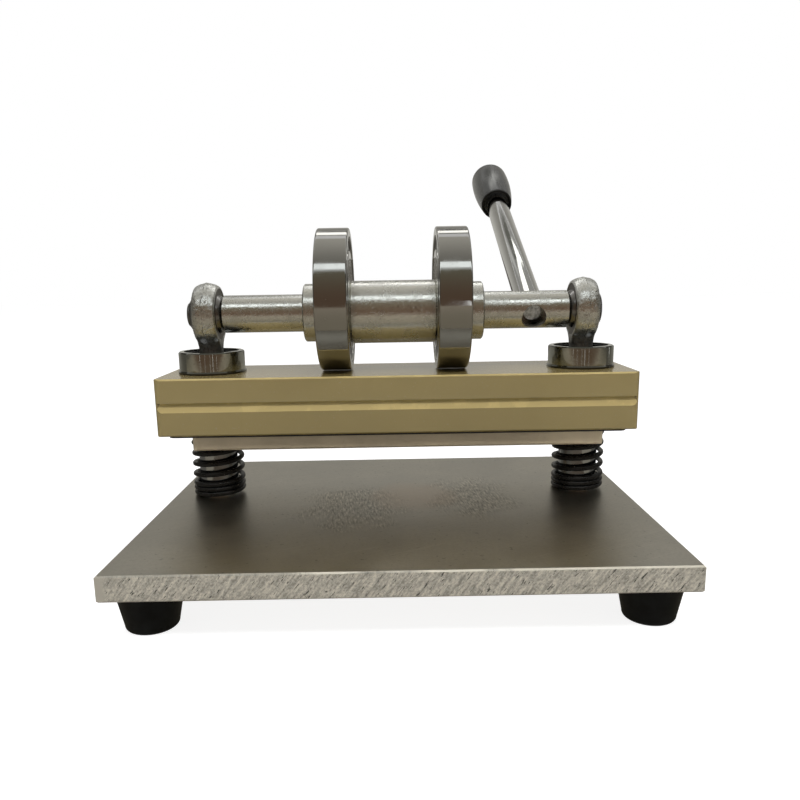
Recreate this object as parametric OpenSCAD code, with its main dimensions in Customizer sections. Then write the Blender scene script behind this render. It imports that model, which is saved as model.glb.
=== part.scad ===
// Die cutting press: a lever turns an eccentric shaft, whose two roller
// bearings push a sprung beam down two guide posts.
// Millimetres. X runs left to right, Y front to back, Z up. The floor is Z = 0.

/* [Base plate and feet] */
// Width of the base plate, left to right
plate_w = 300; // [280:1:360]
// Depth of the base plate, front to back
plate_d = 230; // [200:1:280]
// Thickness of the base plate
plate_t = 14; // [12:0.5:20]
// Bevel along the edges of the plate
plate_bevel = 0.8; // [0.4:0.1:2]
// Height of a rubber foot
foot_h = 23.5; // [20:0.5:32]
// Diameter of a foot under the plate
foot_top_d = 36; // [32:0.5:37]
// Diameter of a foot on the floor
foot_bottom_d = 28; // [25:0.5:30]
// Rounding of a foot's lower edge
foot_edge_r = 2.5; // [0.5:0.1:3]
// Straight rim of a foot, just under the plate
foot_rim_h = 1; // [0.5:0.5:6]
// Centre of a foot from the side edge of the plate
foot_inset_x = 18.5; // [18.5:0.5:40]
// Centre of a foot from the front or back edge of the plate
foot_inset_y = 24; // [19:1:40]
// Diameter of the recess in a foot's underside
foot_recess_d = 14; // [13.5:0.1:16]
// Height of that recess
foot_recess_h = 15; // [10:0.5:17]
// Thread diameter of a foot screw
foot_screw_d = 6; // [5:0.5:6.5]
// Length of a foot screw in the plate
foot_screw_grip = 9; // [6:0.5:10]
// Diameter of a foot screw's head
foot_screw_head_d = 11; // [10:0.5:12]
// Height of a foot screw's head
foot_screw_head_h = 4; // [3:0.5:5]
// Diameter of a foot's washer
foot_washer_d = 13; // [12:0.1:13.2]
// Thickness of a foot's washer
foot_washer_t = 1.5; // [1:0.1:2.5]

/* [Guide posts] */
// Diameter of a guide post
post_d = 25; // [22:0.5:26]
// Centre of a post from the end of the beam
post_inset = 29; // [25:0.5:40]
// Posts behind the middle of the plate
post_y = 28; // [15:1:40]
// Depth of the post's seat in the plate
post_seat = 3; // [2:0.5:5]
// Top of the post below the top of the bush, beam up
post_top_drop = 3; // [1:0.5:6]
// Bevel at both ends of a post
post_bevel = 1; // [0.5:0.1:2]
// Thread diameter of a post bolt
post_bolt_d = 12; // [8:0.5:14]
// Length of a post bolt in the post
post_bolt_grip = 28; // [18:1:32]
// Width across the flats of a post bolt's head
post_bolt_af = 18; // [16:1:22]
// Height of a post bolt's head
post_bolt_head_h = 7.5; // [6:0.5:10]
// Diameter of a post bolt's washer
post_washer_d = 24; // [22:0.5:28]
// Thickness of a post bolt's washer
post_washer_t = 2.5; // [1.5:0.5:4]

/* [Springs] */
// Outer diameter of a spring
spring_od = 34; // [33.5:0.1:35]
// Wire diameter of a spring
spring_wire_d = 3.2; // [2.6:0.1:3.6]
// Open turns of a spring
spring_open_turns = 4.5; // [4:0.5:5.5]
// Closed turns at the foot of a spring
spring_low_turns = 2; // [1:0.25:2]
// Closed turns at the head of a spring
spring_high_turns = 1; // [0.5:0.25:1.25]
// Direction of the wire's lower end, from the right
spring_start_angle = 278; // [0:1:359]
// Gap between the turns of a closed end
spring_closed_gap = 0.55; // [0.5:0.05:1]

/* [Beam] */
// End of the beam from the side of the base plate
beam_inset = 0; // [0:0.5:10]
// Depth of the beam, front to back
beam_d = 72; // [66:1:90]
// Thickness of the upper beam plate
upper_plate_t = 15; // [12.5:0.5:24]
// Thickness of the lower beam plate
lower_plate_t = 21; // [15:0.5:28]
// Height of the slope along the lower plate's upper edges
groove_h = 6; // [3:0.1:8]
// Depth of that slope
groove_depth = 3; // [2:0.5:8]
// Ends of the slope from the beam's ends
groove_end = 0.5; // [0.3:0.1:4]
// Bevel along the edges of the beam
beam_bevel = 1; // [0.5:0.1:2]
// Rounding of the beam's upright corners
beam_corner_r = 5; // [2:0.5:8]
// Thread diameter of a beam bolt
beam_bolt_d = 8; // [6:0.5:10]
// Length of a beam bolt in the upper plate
beam_bolt_grip = 11; // [8:0.5:12]
// Diameter of a beam bolt's head
beam_bolt_head_d = 13; // [12:0.5:16]
// Height of a beam bolt's head
beam_bolt_head_h = 8; // [6:0.5:9]
// Beam bolts from the middle, left and right
beam_bolt_x = 48; // [30:1:60]
// Beam bolts and pad screws from the middle, front and back
fixing_y = 20; // [16:0.5:22]

/* [Press pad] */
// Ends of the backing sheet from the beam's ends
sheet_inset_x = 6.5; // [3:0.5:12]
// Sides of the backing sheet from the beam's sides
sheet_inset_y = 3.5; // [2:0.5:6]
// Thickness of the backing sheet
sheet_t = 1.5; // [1:0.1:3]
// Ends of the press pad from the beam's ends
pad_inset_x = 20; // [12:0.5:24]
// Sides of the press pad from the beam's sides
pad_inset_y = 6; // [3:0.5:8]
// Thickness of the press pad
pad_t = 9; // [6:0.5:14]
// Rounding of the pad's upright corners
pad_corner_r = 4; // [1:0.5:6]
// Bevel round the pad's lower edges
pad_bevel = 1.2; // [0.5:0.1:2]
// Open height between the plate and the pad, beam up
work_gap = 36; // [30:0.5:45]
// Free space beside a spring in the pad
spring_side_gap = 1; // [0.5:0.1:2]
// Thread diameter of a pad screw
pad_screw_d = 5; // [4:0.5:6]
// Length of a pad screw in the beam
pad_screw_grip = 10; // [6:0.5:12]
// Diameter of a pad screw's head
pad_screw_head_d = 9.5; // [8:0.5:12]
// Depth of a pad screw's cone head
pad_screw_head_h = 2.6; // [2:0.1:3.2]
// Outer pad screws from the posts
pad_screw_inset = 37; // [30:1:50]

/* [Guide bushes] */
// Diameter of a bush's head
bush_head_d = 42; // [40:0.5:48]
// Height of a bush's head
bush_head_h = 14; // [10:0.5:18]
// Bevel round the head's edges
bush_bevel = 0.8; // [0.4:0.1:1.5]
// Lip round the foot of a bush's head
bush_lip = 0.8; // [0.4:0.1:1.5]
// Height of that lip
bush_lip_h = 1.2; // [0.8:0.1:3]
// Diameter of a bush's sleeve in the beam
bush_sleeve_d = 34; // [32:0.5:38]
// Diameter of a wiper ring
wiper_d = 35; // [32:0.5:37]
// Thickness of a wiper ring
wiper_t = 3.5; // [2:0.5:5]
// Wiper ring below the top of the bush
wiper_sink = 1; // [0.5:0.1:2]

/* [Eccentric shaft] */
// Offset of the roller bearings from the shaft's axis
eccentricity = 8; // [5:0.5:10]
// Diameter of the shaft between the bearings
shaft_mid_d = 40; // [36:0.5:44]
// Diameter of the shaft's ends
shaft_end_d = 24; // [22:0.5:26]
// Left tip of the shaft beyond its pivot ball
shaft_tip_extra = 2; // [0:0.5:8]
// Bevel at the shaft's shoulders
shaft_bevel = 0.8; // [0.4:0.1:1.5]
// Middle of a roller bearing from the middle of the pair
roller_x = 37.2; // [30:0.1:45]
// Shift of the pair to the right
roller_shift = -1.5; // [-4:0.1:4]
// Diameter of a collar
collar_d = 37; // [34:0.5:42]
// Width of a collar
collar_w = 10; // [8:0.5:14]
// Diameter of a collar's grub screw
grub_d = 6; // [4:0.5:7]

/* [Roller bearings] */
// Bore of a roller bearing
bearing_bore = 50; // [46:0.5:52]
// Thickness of the inner ring
inner_wall = 6; // [5:0.5:7]
// Space for the balls between the two rings
ball_space = 8; // [7:0.5:9]
// Thickness of the outer ring
outer_wall = 6; // [5:0.5:8]
// Width of a roller bearing
bearing_w = 20; // [16:0.5:24]
// Rounding of a bearing ring's edges
bearing_edge_r = 1.1; // [0.5:0.1:1.8]
// Diameter of a bearing ball
bearing_ball_d = 12.7; // [11:0.1:13]
// Number of balls in a bearing
bearing_balls = 10; // [8:1:11]
// Width of a cage
cage_w = 15.4; // [14.5:0.1:15.8]
// Wall of a cage
cage_t = 2.4; // [2:0.1:4]
// Thickness of a shield
shield_t = 0.8; // [0.5:0.1:1.5]
// Shield below the bearing's face
shield_sink = 1; // [0.5:0.1:2]

/* [Rod ends] */
// Diameter of an eye
eye_od = 41; // [39:0.5:46]
// Width of an eye
eye_w = 15; // [13:0.5:18]
// Radius of the rim's crown across an eye
eye_crown_r = 13; // [10:0.5:20]
// Diameter of the race insert
race_od = 33; // [32:0.5:35]
// Width of the race insert
race_w = 14; // [12:0.5:17]
// Diameter of a pivot ball
pivot_ball_d = 28.6; // [27:0.1:30]
// Width of a pivot ball
pivot_ball_w = 21; // [18:0.5:22]
// Bore of a pivot ball
pivot_bore = 16; // [14:0.5:17]
// Diameter of a rod end's shank
shank_d = 16; // [14:0.5:17]
// Length of the shank in the post
shank_grip = 34; // [24:1:40]
// Width of the neck where it meets the eye
neck_top_d = 24; // [18:0.5:25]

/* [Lever] */
// Lever from the right-hand post
lever_inset = 33; // [28:0.5:40]
// Angle of the lever above level, at rest
lever_angle = 26; // [15:1:45]
// Diameter of the lever rod
lever_d = 17.5; // [16:0.5:20]
// Diameter of the rod's end in the shaft
lever_tang_d = 15.6; // [12:0.1:16]
// Rod's end below the shaft's front side
lever_tang_sink = 4; // [0.5:0.1:5]
// Bevel at the rod's end
lever_tang_bevel = 2; // [0.5:0.1:3]
// Shaft axis to the knob
lever_reach = 187; // [140:1:220]
// Length of the knob
knob_len = 65; // [58:1:100]
// Diameter of the knob at its base
knob_base_d = 25; // [23:0.5:28]
// Diameter of the knob at its widest
knob_max_d = 32; // [30:0.5:38]
// Widest place of the knob from its base
knob_swell_at = 44; // [36:1:56]
// Rounding of the knob's far end
knob_end_r = 9; // [5:0.5:12]
// Diameter of the rod inside the knob
knob_stud_d = 12; // [10:0.5:14]
// Length of the rod inside the knob
knob_stud_len = 45; // [30:1:50]

/* [Fits] */
// Radial clearance of a running fit
running_fit = 0.05; // [0.03:0.01:0.08]
// Radial clearance of a seated or threaded fit
seat_fit = 0.03; // [0.02:0.01:0.06]
// Radial clearance of a bolt in a plain hole
bolt_gap = 0.3; // [0.2:0.1:0.5]
// Free space between pieces that move past each other
moving_gap = 0.3; // [0.25:0.05:0.5]

/* [Hidden] */
$fn = 64;
cut = 1;
sides = [-1, 1];
spring_rings = 16;
spring_sides = 8;

plate_z = foot_h;
plate_top = plate_z + plate_t;
beam_w = plate_w - 2 * beam_inset;
post_x = beam_w / 2 - post_inset;
sheet_w = beam_w - 2 * sheet_inset_x;
sheet_d = beam_d - 2 * sheet_inset_y;
pad_w = beam_w - 2 * pad_inset_x;
pad_d = beam_d - 2 * pad_inset_y;
pad_screw_x = post_x - pad_screw_inset;
lever_x = post_x - lever_inset;
foot_x = plate_w / 2 - foot_inset_x;
foot_y = plate_d / 2 - foot_inset_y;
foot_places = [for (y = sides) for (x = sides) [x * foot_x, y * foot_y]];

pad_z = plate_top + work_gap;
sheet_z = pad_z + pad_t;
beam_z = sheet_z + sheet_t;
joint_z = beam_z + lower_plate_t;
beam_top = joint_z + upper_plate_t;
bush_top = beam_top + bush_head_h;
post_bottom = plate_top - post_seat;
post_top = bush_top - post_top_drop;
notch_w = spring_od + 2 * spring_side_gap;
beam_bolts_at = [for (x = sides) for (y = sides) [x * beam_bolt_x, y * fixing_y]];
pad_screws_at = [for (x = [-1, 0, 1]) for (y = sides) [x * pad_screw_x, y * fixing_y]];

inner_land_d = bearing_bore + 2 * inner_wall;
outer_land_d = inner_land_d + 2 * ball_space;
roller_od = outer_land_d + 2 * outer_wall;
roller_z = beam_top + moving_gap + roller_od / 2;
shaft_z = roller_z - eccentricity;
shaft_shoulder_x = post_x - pivot_ball_w / 2 - moving_gap;
shaft_tip_x = post_x + pivot_ball_w / 2;
ball_circle_d = (inner_land_d + outer_land_d) / 2;
neck_len = shaft_z - post_top;
eye_r = eye_od / 2;

lever_end = lever_reach + knob_len;
knob_swell = (knob_max_d - knob_base_d) / 2;
knob_swell_r = (pow(knob_swell_at, 2) + pow(knob_swell, 2)) / (2 * knob_swell);
knob_end_y = (lever_end - knob_end_r) * cos(lever_angle)
    + (knob_max_d / 2 - knob_end_r) * sin(lever_angle) + knob_end_r;
front_y = -plate_d / 2;
back_y = post_y + knob_end_y;
frame_y = (front_y + back_y) / 2;

spring_z = plate_top + spring_wire_d / 2 + seat_fit;
spring_top = beam_z - moving_gap - spring_wire_d / 2;
spring_r = (spring_od - spring_wire_d) / 2;
spring_closed_turns = spring_low_turns + spring_high_turns;
spring_turns = spring_open_turns + spring_closed_turns;
spring_closed_pitch = spring_wire_d + spring_closed_gap;
spring_open_pitch = (spring_top - spring_z - spring_closed_turns * spring_closed_pitch)
    / spring_open_turns;

steel = [0.74, 0.74, 0.72];
bright_steel = [0.82, 0.82, 0.80];
dark_steel = [0.42, 0.42, 0.41];
black_rubber = [0.07, 0.07, 0.07];
cream_paint = [0.74, 0.69, 0.52];

// Moves the origin to the middle of the press, on the floor
module in_frame() { translate([0, -frame_y, 0]) children(); }
module at_post(side, z) { in_frame() translate([side * post_x, post_y, z]) children(); }
module at_shaft() { in_frame() translate([0, post_y, shaft_z]) children(); }
module at_roller(side) {
    in_frame() translate([roller_shift + side * roller_x, post_y, roller_z]) children();
}
module at_beam(z) { in_frame() translate([0, post_y, z]) children(); }
module at_lever() {
    at_shaft() translate([lever_x, 0, 0]) rotate([lever_angle - 90, 0, 0]) children();
}
module along_x() { rotate([0, 90, 0]) children(); }

// Square with its lower left corner at the origin and all corners rounded
module rounded_square(w, h, r) {
    translate([r, 0]) square([w - 2 * r, h]);
    translate([0, r]) square([w, h - 2 * r]);
    for (x = [r, w - r]) for (y = [r, h - r]) translate([x, y]) circle(r);
}
module rounded_slab(w, d, h, r) {
    translate([-w / 2, -d / 2, 0]) linear_extrude(h) rounded_square(w, d, r);
}
// Cylinder with a bevel at each end
module bevelled_rod(d, h, bevel) {
    rotate_extrude() polygon([
        [0, 0], [d / 2 - bevel, 0], [d / 2, bevel],
        [d / 2, h - bevel], [d / 2 - bevel, h], [0, h],
    ]);
}
// Cylinder between two places along X
module rod_x(d, x0, x1) { translate([x0, 0, 0]) along_x() cylinder(d = d, h = x1 - x0); }

// Base
module base_plate() {
    color(steel) in_frame() difference() {
        intersection() {
            plate_bar(plate_w, plate_d);
            rotate([0, 0, 90]) plate_bar(plate_d, plate_w);
        }
        for (p = foot_places) translate([p.x, p.y, plate_z - cut])
            cylinder(d = foot_screw_d + 2 * seat_fit, h = foot_screw_grip + 2 * cut);
        for (s = sides) translate([s * post_x, post_y, 0]) {
            translate([0, 0, plate_z - cut]) cylinder(d = post_bolt_d + 2 * bolt_gap, h = plate_t + 2 * cut);
            translate([0, 0, post_bottom]) cylinder(d = post_d + 2 * seat_fit, h = post_seat + cut);
        }
    }
}
// Bar along X whose four long edges are bevelled
module plate_bar(w, d) {
    translate([-w / 2, 0, plate_z]) rotate([90, 0, 90]) linear_extrude(w) polygon([
        [plate_bevel - d / 2, 0], [d / 2 - plate_bevel, 0], [d / 2, plate_bevel],
        [d / 2, plate_t - plate_bevel], [d / 2 - plate_bevel, plate_t],
        [plate_bevel - d / 2, plate_t], [-d / 2, plate_t - plate_bevel], [-d / 2, plate_bevel],
    ]);
}
module foot(x, y) {
    top_r = foot_top_d / 2;
    low_r = foot_bottom_d / 2;
    color(black_rubber) in_frame() translate([x * foot_x, y * foot_y, 0]) difference() {
        rotate_extrude() difference() {
            union() {
                polygon([
                    [0, 0], [low_r - foot_edge_r, 0], [low_r, foot_edge_r],
                    [top_r, foot_h - foot_rim_h], [top_r, foot_h], [0, foot_h],
                ]);
                intersection() {
                    translate([low_r - foot_edge_r, foot_edge_r]) circle(foot_edge_r);
                    square([low_r, foot_edge_r]);
                }
            }
        }
        translate([0, 0, -cut]) cylinder(d = foot_recess_d, h = foot_recess_h + cut);
        translate([0, 0, -cut]) cylinder(d = foot_screw_d + 2 * bolt_gap, h = foot_h + 2 * cut);
    }
}
module foot_screws() {
    head_z = foot_recess_h - foot_washer_t - foot_screw_head_h;
    color(dark_steel) in_frame() for (p = foot_places) translate([p.x, p.y, head_z]) {
        bevelled_rod(foot_screw_head_d, foot_screw_head_h, foot_screw_head_h / 5);
        cylinder(d = foot_screw_d, h = plate_z + foot_screw_grip - head_z);
    }
}
module foot_washers() {
    color(steel) in_frame() for (p = foot_places)
        translate([p.x, p.y, foot_recess_h - foot_washer_t])
            washer(foot_washer_d, foot_screw_d, foot_washer_t);
}
module washer(d, bolt_d, t) {
    difference() {
        cylinder(d = d, h = t);
        translate([0, 0, -cut]) cylinder(d = bolt_d + 2 * bolt_gap, h = t + 2 * cut);
    }
}

// Guide posts
module guide_post(side) {
    color(bright_steel) at_post(side, post_bottom) difference() {
        bevelled_rod(post_d, post_top - post_bottom, post_bevel);
        translate([0, 0, -cut])
            cylinder(d = post_bolt_d + 2 * seat_fit, h = post_bolt_grip + 2 * cut);
        translate([0, 0, post_top - post_bottom - shank_grip - cut])
            cylinder(d = shank_d + 2 * seat_fit, h = shank_grip + 2 * cut);
    }
}
module post_bolts() {
    washer_z = plate_z - post_washer_t;
    color(dark_steel) for (s = sides) at_post(s, washer_z) {
        translate([0, 0, -post_bolt_head_h]) {
            rotate([0, 0, 30]) cylinder(d = post_bolt_af / cos(30), h = post_bolt_head_h, $fn = 6);
            translate([0, 0, cut])
                cylinder(d = post_bolt_d, h = post_bottom + post_bolt_grip - washer_z + post_bolt_head_h - cut);
        }
    }
}
module post_washers() {
    color(steel) for (s = sides) at_post(s, plate_z - post_washer_t)
        washer(post_washer_d, post_bolt_d, post_washer_t);
}

// Rod ends
module rod_end(side) {
    color(bright_steel) at_post(side, shaft_z) difference() {
        union() {
            along_x() rotate_extrude() intersection() {
                translate([0, -eye_w / 2]) square([eye_r, eye_w]);
                translate([eye_r - eye_crown_r, 0]) circle(eye_crown_r);
            }
            intersection() {
                rotate_extrude() polygon([
                    [0, -neck_len - shank_grip], [shank_d / 2, -neck_len - shank_grip],
                    [shank_d / 2, -(neck_len + eye_r) / 2], [neck_top_d / 2, -eye_r / 2], [0, -eye_r / 2],
                ]);
                translate([-eye_w / 2, -eye_r, -neck_len]) cube([eye_w, eye_od, neck_len]);
            }
            translate([0, 0, -neck_len - shank_grip]) cylinder(d = shank_d, h = shank_grip + cut);
        }
        rod_x(race_od + 2 * seat_fit, -eye_w, eye_w);
    }
}
module race_insert(side) {
    color(dark_steel) at_post(side, shaft_z) along_x() rotate_extrude() difference() {
        translate([0, -race_w / 2]) square([race_od / 2, race_w]);
        circle(d = pivot_ball_d + 2 * running_fit);
    }
}
module pivot_ball(side) {
    color(bright_steel) at_post(side, shaft_z) difference() {
        intersection() {
            sphere(d = pivot_ball_d);
            cube([pivot_ball_w, pivot_ball_d, pivot_ball_d], center = true);
        }
        rod_x(pivot_bore + 2 * seat_fit, -pivot_ball_w, pivot_ball_w);
    }
}

// Springs
// Height of the wire's middle after a number of turns
function coil_z(turn) =
    let (open = min(max(turn - spring_low_turns, 0), spring_open_turns))
    spring_z + open * spring_open_pitch + (turn - open) * spring_closed_pitch;
function coil_angle(turn) = spring_start_angle + 360 * turn;
// Middle of the wire after a number of turns
function coil_middle(turn) =
    [spring_r * cos(coil_angle(turn)), spring_r * sin(coil_angle(turn)), coil_z(turn)];
function coil_point(ring, corner) =
    let (turn = ring / spring_rings, a = coil_angle(turn), b = 360 * corner / spring_sides)
    let (r = spring_r + spring_wire_d / 2 * cos(b))
    [r * cos(a), r * sin(a), coil_z(turn) + spring_wire_d / 2 * sin(b)];
coil_rings = round(spring_turns * spring_rings);
coil_points = [
    for (ring = [0 : coil_rings]) for (corner = [0 : spring_sides - 1]) coil_point(ring, corner),
    coil_middle(0),
    coil_middle(coil_rings / spring_rings),
];
start_cap = len(coil_points) - 2;
end_cap = len(coil_points) - 1;
function coil_index(ring, corner) = ring * spring_sides + corner % spring_sides;
coil_faces = [
    for (ring = [0 : coil_rings - 1]) for (c = [0 : spring_sides - 1]) each [
        [coil_index(ring, c), coil_index(ring, c + 1), coil_index(ring + 1, c + 1)],
        [coil_index(ring, c), coil_index(ring + 1, c + 1), coil_index(ring + 1, c)],
    ],
    for (c = [0 : spring_sides - 1]) [coil_index(0, c + 1), coil_index(0, c), start_cap],
    for (c = [0 : spring_sides - 1])
        [coil_index(coil_rings, c), coil_index(coil_rings, c + 1), end_cap],
];
// Least distance from a turn's surface to the next turn's
coil_gap = min([
    for (ring = [0 : coil_rings - spring_rings]) for (a = [0 : spring_sides - 1])
        for (b = [0 : spring_sides - 1])
            norm(coil_point(ring, a) - coil_point(ring + spring_rings, b))
]);
echo(least_gap_between_spring_turns = coil_gap);
module spring(side) {
    color(black_rubber) at_post(side, 0) polyhedron(coil_points, coil_faces);
}

// Eccentric shaft and lever
module eccentric_shaft() {
    journal_x = roller_x + bearing_w / 2;
    mid_x = roller_x - bearing_w / 2;
    color(bright_steel) difference() {
        at_shaft() {
            rod_x(shaft_end_d, -shaft_shoulder_x, shaft_shoulder_x);
            translate([-shaft_tip_x - shaft_tip_extra, 0, 0]) along_x()
                bevelled_rod(pivot_bore, 2 * shaft_tip_x + shaft_tip_extra, shaft_bevel);
            translate([roller_shift - mid_x, 0, 0]) along_x()
                bevelled_rod(shaft_mid_d, 2 * mid_x, shaft_bevel);
            for (s = sides) translate([roller_shift + s * roller_x, 0, eccentricity])
                rod_x(bearing_bore, -bearing_w / 2, bearing_w / 2);
        }
        at_lever() cylinder(d = lever_tang_d + 2 * seat_fit, h = 2 * shaft_end_d, center = true);
    }
}
module collar(side) {
    inner_x = roller_x + bearing_w / 2;
    color(bright_steel) at_shaft() difference() {
        translate([roller_shift + (side > 0 ? inner_x : -inner_x - collar_w), 0, 0]) along_x()
            bevelled_rod(collar_d, collar_w, shaft_bevel);
        rod_x(shaft_end_d + 2 * seat_fit, -shaft_shoulder_x, shaft_shoulder_x);
        at_grub(side) cylinder(d = grub_d + 2 * seat_fit, h = collar_d);
    }
}
// Middle of a collar, pointing to the back
module at_grub(side) {
    translate([roller_shift + side * (roller_x + bearing_w / 2 + collar_w / 2), 0, 0])
        rotate([-90, 0, 0]) children();
}
module collar_screws() {
    grub_start = shaft_end_d / 2 + seat_fit;
    color(dark_steel) at_shaft() for (s = sides) at_grub(s)
        translate([0, 0, grub_start]) cylinder(d = grub_d, h = collar_d / 2 - shaft_bevel - grub_start);
}
module lever_rod() {
    tang_z = lever_tang_sink - shaft_end_d / 2;
    color(bright_steel) {
        difference() {
            at_lever() cylinder(d = lever_d, h = lever_reach);
            at_shaft() rod_x(shaft_end_d + 2 * seat_fit, -shaft_shoulder_x, shaft_shoulder_x);
        }
        at_lever() {
            translate([0, 0, tang_z])
                bevelled_rod(lever_tang_d, shaft_end_d - tang_z, lever_tang_bevel);
            translate([0, 0, lever_reach - cut])
                cylinder(d = knob_stud_d, h = knob_stud_len + cut);
        }
    }
}
module lever_knob() {
    max_r = knob_max_d / 2;
    end_r = max_r - knob_end_r;
    end_z = knob_len - knob_end_r;
    color(dark_steel) at_lever() translate([0, 0, lever_reach]) difference() {
        rotate_extrude() intersection() {
            union() {
                square([max_r, end_z]);
                square([end_r, knob_len]);
                intersection() {
                    translate([end_r, end_z]) circle(knob_end_r);
                    square([max_r, knob_len]);
                }
            }
            translate([max_r - knob_swell_r, knob_swell_at]) circle(knob_swell_r, $fn = 720);
        }
        translate([0, 0, -cut])
            cylinder(d = knob_stud_d + 2 * seat_fit, h = knob_stud_len + 2 * cut);
    }
}

// Roller bearings
module bearing_ring(d0, d1) {
    translate([-bearing_w / 2, 0, 0]) along_x() difference() {
        rotate_extrude() translate([d0 / 2, 0])
            rounded_square((d1 - d0) / 2, bearing_w, bearing_edge_r);
        translate([0, 0, bearing_w / 2]) rotate_extrude() translate([ball_circle_d / 2, 0])
            circle(d = bearing_ball_d + 2 * moving_gap);
    }
}
module inner_ring(side) {
    color(steel) at_roller(side) bearing_ring(bearing_bore + 2 * seat_fit, inner_land_d);
}
module outer_ring(side) {
    color(steel) at_roller(side) bearing_ring(outer_land_d, roller_od);
}
module shields(side) {
    color(dark_steel) at_roller(side) for (s = sides)
        translate([s * (bearing_w / 2 - shield_sink - shield_t / 2), 0, 0]) difference() {
            rod_x(outer_land_d - 2 * seat_fit, -shield_t / 2, shield_t / 2);
            rod_x(inner_land_d + 2 * moving_gap, -shield_t, shield_t);
        }
}
module at_balls() {
    for (i = [0 : bearing_balls - 1]) rotate([360 * i / bearing_balls, 0, 0])
        translate([0, 0, ball_circle_d / 2]) children();
}
module bearing_balls(side) {
    color(bright_steel) at_roller(side) at_balls() sphere(d = bearing_ball_d);
}
module ball_cage(side) {
    color(dark_steel) at_roller(side) difference() {
        rod_x(ball_circle_d + cage_t, -cage_w / 2, cage_w / 2);
        rod_x(ball_circle_d - cage_t, -cage_w, cage_w);
        at_balls() sphere(d = bearing_ball_d + 2 * running_fit);
    }
}

// Beam
// Slab with rounded upright corners and a bevel round its upper or lower face
module bevelled_slab(w, d, t, r, bevel, upper) {
    translate([0, 0, upper ? 0 : t]) mirror([0, 0, upper ? 0 : 1]) intersection() {
        rounded_slab(w, d, t, r);
        topped_bar(w, d, t, bevel);
        rotate([0, 0, 90]) topped_bar(d, w, t, bevel);
    }
}
// Bar along X whose two upper long edges are bevelled
module topped_bar(w, d, t, bevel) {
    translate([-w / 2, 0, 0]) rotate([90, 0, 90]) linear_extrude(w) polygon([
        [-d / 2, 0], [d / 2, 0], [d / 2, t - bevel], [d / 2 - bevel, t],
        [bevel - d / 2, t], [-d / 2, t - bevel],
    ]);
}
// What the slope along the lower plate's front edge takes away, with mitred ends
module groove_cut() {
    half = beam_d / 2;
    reach = beam_w / 2 - groove_end;
    low = lower_plate_t - groove_h;
    intersection() {
        translate([-beam_w / 2, 0, 0]) rotate([90, 0, 90]) linear_extrude(beam_w) polygon([
            [-half - cut, low], [-half, low], [groove_depth - half, lower_plate_t],
            [groove_depth - half, lower_plate_t + cut], [-half - cut, lower_plate_t + cut],
        ]);
        translate([0, 0, low - cut]) linear_extrude(groove_h + 3 * cut) polygon([
            [-reach - cut, -half - cut], [reach + cut, -half - cut],
            [reach - groove_depth, groove_depth - half], [groove_depth - reach, groove_depth - half],
        ]);
    }
}
module bush_holes(t) {
    for (s = sides) translate([s * post_x, 0, -cut])
        cylinder(d = bush_sleeve_d + 2 * seat_fit, h = t + 2 * cut);
}
module upper_beam_plate() {
    color(cream_paint) at_beam(joint_z) difference() {
        bevelled_slab(beam_w, beam_d, upper_plate_t, beam_corner_r, beam_bevel, true);
        bush_holes(upper_plate_t);
        for (p = beam_bolts_at) translate([p.x, p.y, -cut])
            cylinder(d = beam_bolt_d + 2 * seat_fit, h = beam_bolt_grip + 2 * cut);
    }
}
module lower_beam_plate() {
    color(cream_paint) at_beam(beam_z) difference() {
        bevelled_slab(beam_w, beam_d, lower_plate_t, beam_corner_r, beam_bevel, false);
        groove_cut();
        mirror([0, 1, 0]) groove_cut();
        bush_holes(lower_plate_t);
        for (p = beam_bolts_at) translate([p.x, p.y, -cut]) {
            cylinder(d = beam_bolt_d + 2 * bolt_gap, h = lower_plate_t + 2 * cut);
            cylinder(d = beam_bolt_head_d + 2 * bolt_gap, h = beam_bolt_head_h + cut);
        }
        for (p = pad_screws_at) translate([p.x, p.y, -cut])
            cylinder(d = pad_screw_d + 2 * seat_fit, h = pad_screw_grip + 2 * cut);
    }
}
module beam_bolts() {
    color(dark_steel) at_beam(beam_z) for (p = beam_bolts_at) translate([p.x, p.y, 0]) {
        bevelled_rod(beam_bolt_head_d, beam_bolt_head_h, beam_bolt_head_h / 10);
        cylinder(d = beam_bolt_d, h = lower_plate_t + beam_bolt_grip);
    }
}
// Slab that gets an open notch at each end for a spring and a hole for each pad screw
module notched(w, t) {
    difference() {
        children();
        for (s = sides) translate([s * post_x, 0, -cut]) {
            cylinder(d = notch_w, h = t + 2 * cut);
            translate([s > 0 ? 0 : -w, -notch_w / 2, 0]) cube([w, notch_w, t + 2 * cut]);
        }
        for (p = pad_screws_at) translate([p.x, p.y, -cut])
            cylinder(d = pad_screw_d + 2 * bolt_gap, h = t + 2 * cut);
    }
}
module backing_sheet() {
    color(black_rubber) at_beam(sheet_z) notched(sheet_w, sheet_t)
        rounded_slab(sheet_w, sheet_d, sheet_t, pad_corner_r);
}
module press_pad() {
    color(steel) at_beam(pad_z) difference() {
        notched(pad_w, pad_t)
            bevelled_slab(pad_w, pad_d, pad_t, pad_corner_r, pad_bevel, false);
        for (p = pad_screws_at) translate([p.x, p.y, 0]) screw_cone(bolt_gap, cut);
    }
}
module screw_cone(gap, below) {
    translate([0, 0, -below]) cylinder(d = pad_screw_head_d + 2 * gap, h = below);
    cylinder(d1 = pad_screw_head_d + 2 * gap, d2 = pad_screw_d + 2 * gap, h = pad_screw_head_h);
}
module pad_screws() {
    color(dark_steel) at_beam(pad_z) for (p = pad_screws_at) translate([p.x, p.y, 0]) {
        screw_cone(0, 0);
        cylinder(d = pad_screw_d, h = pad_t + sheet_t + pad_screw_grip);
    }
}
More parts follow.
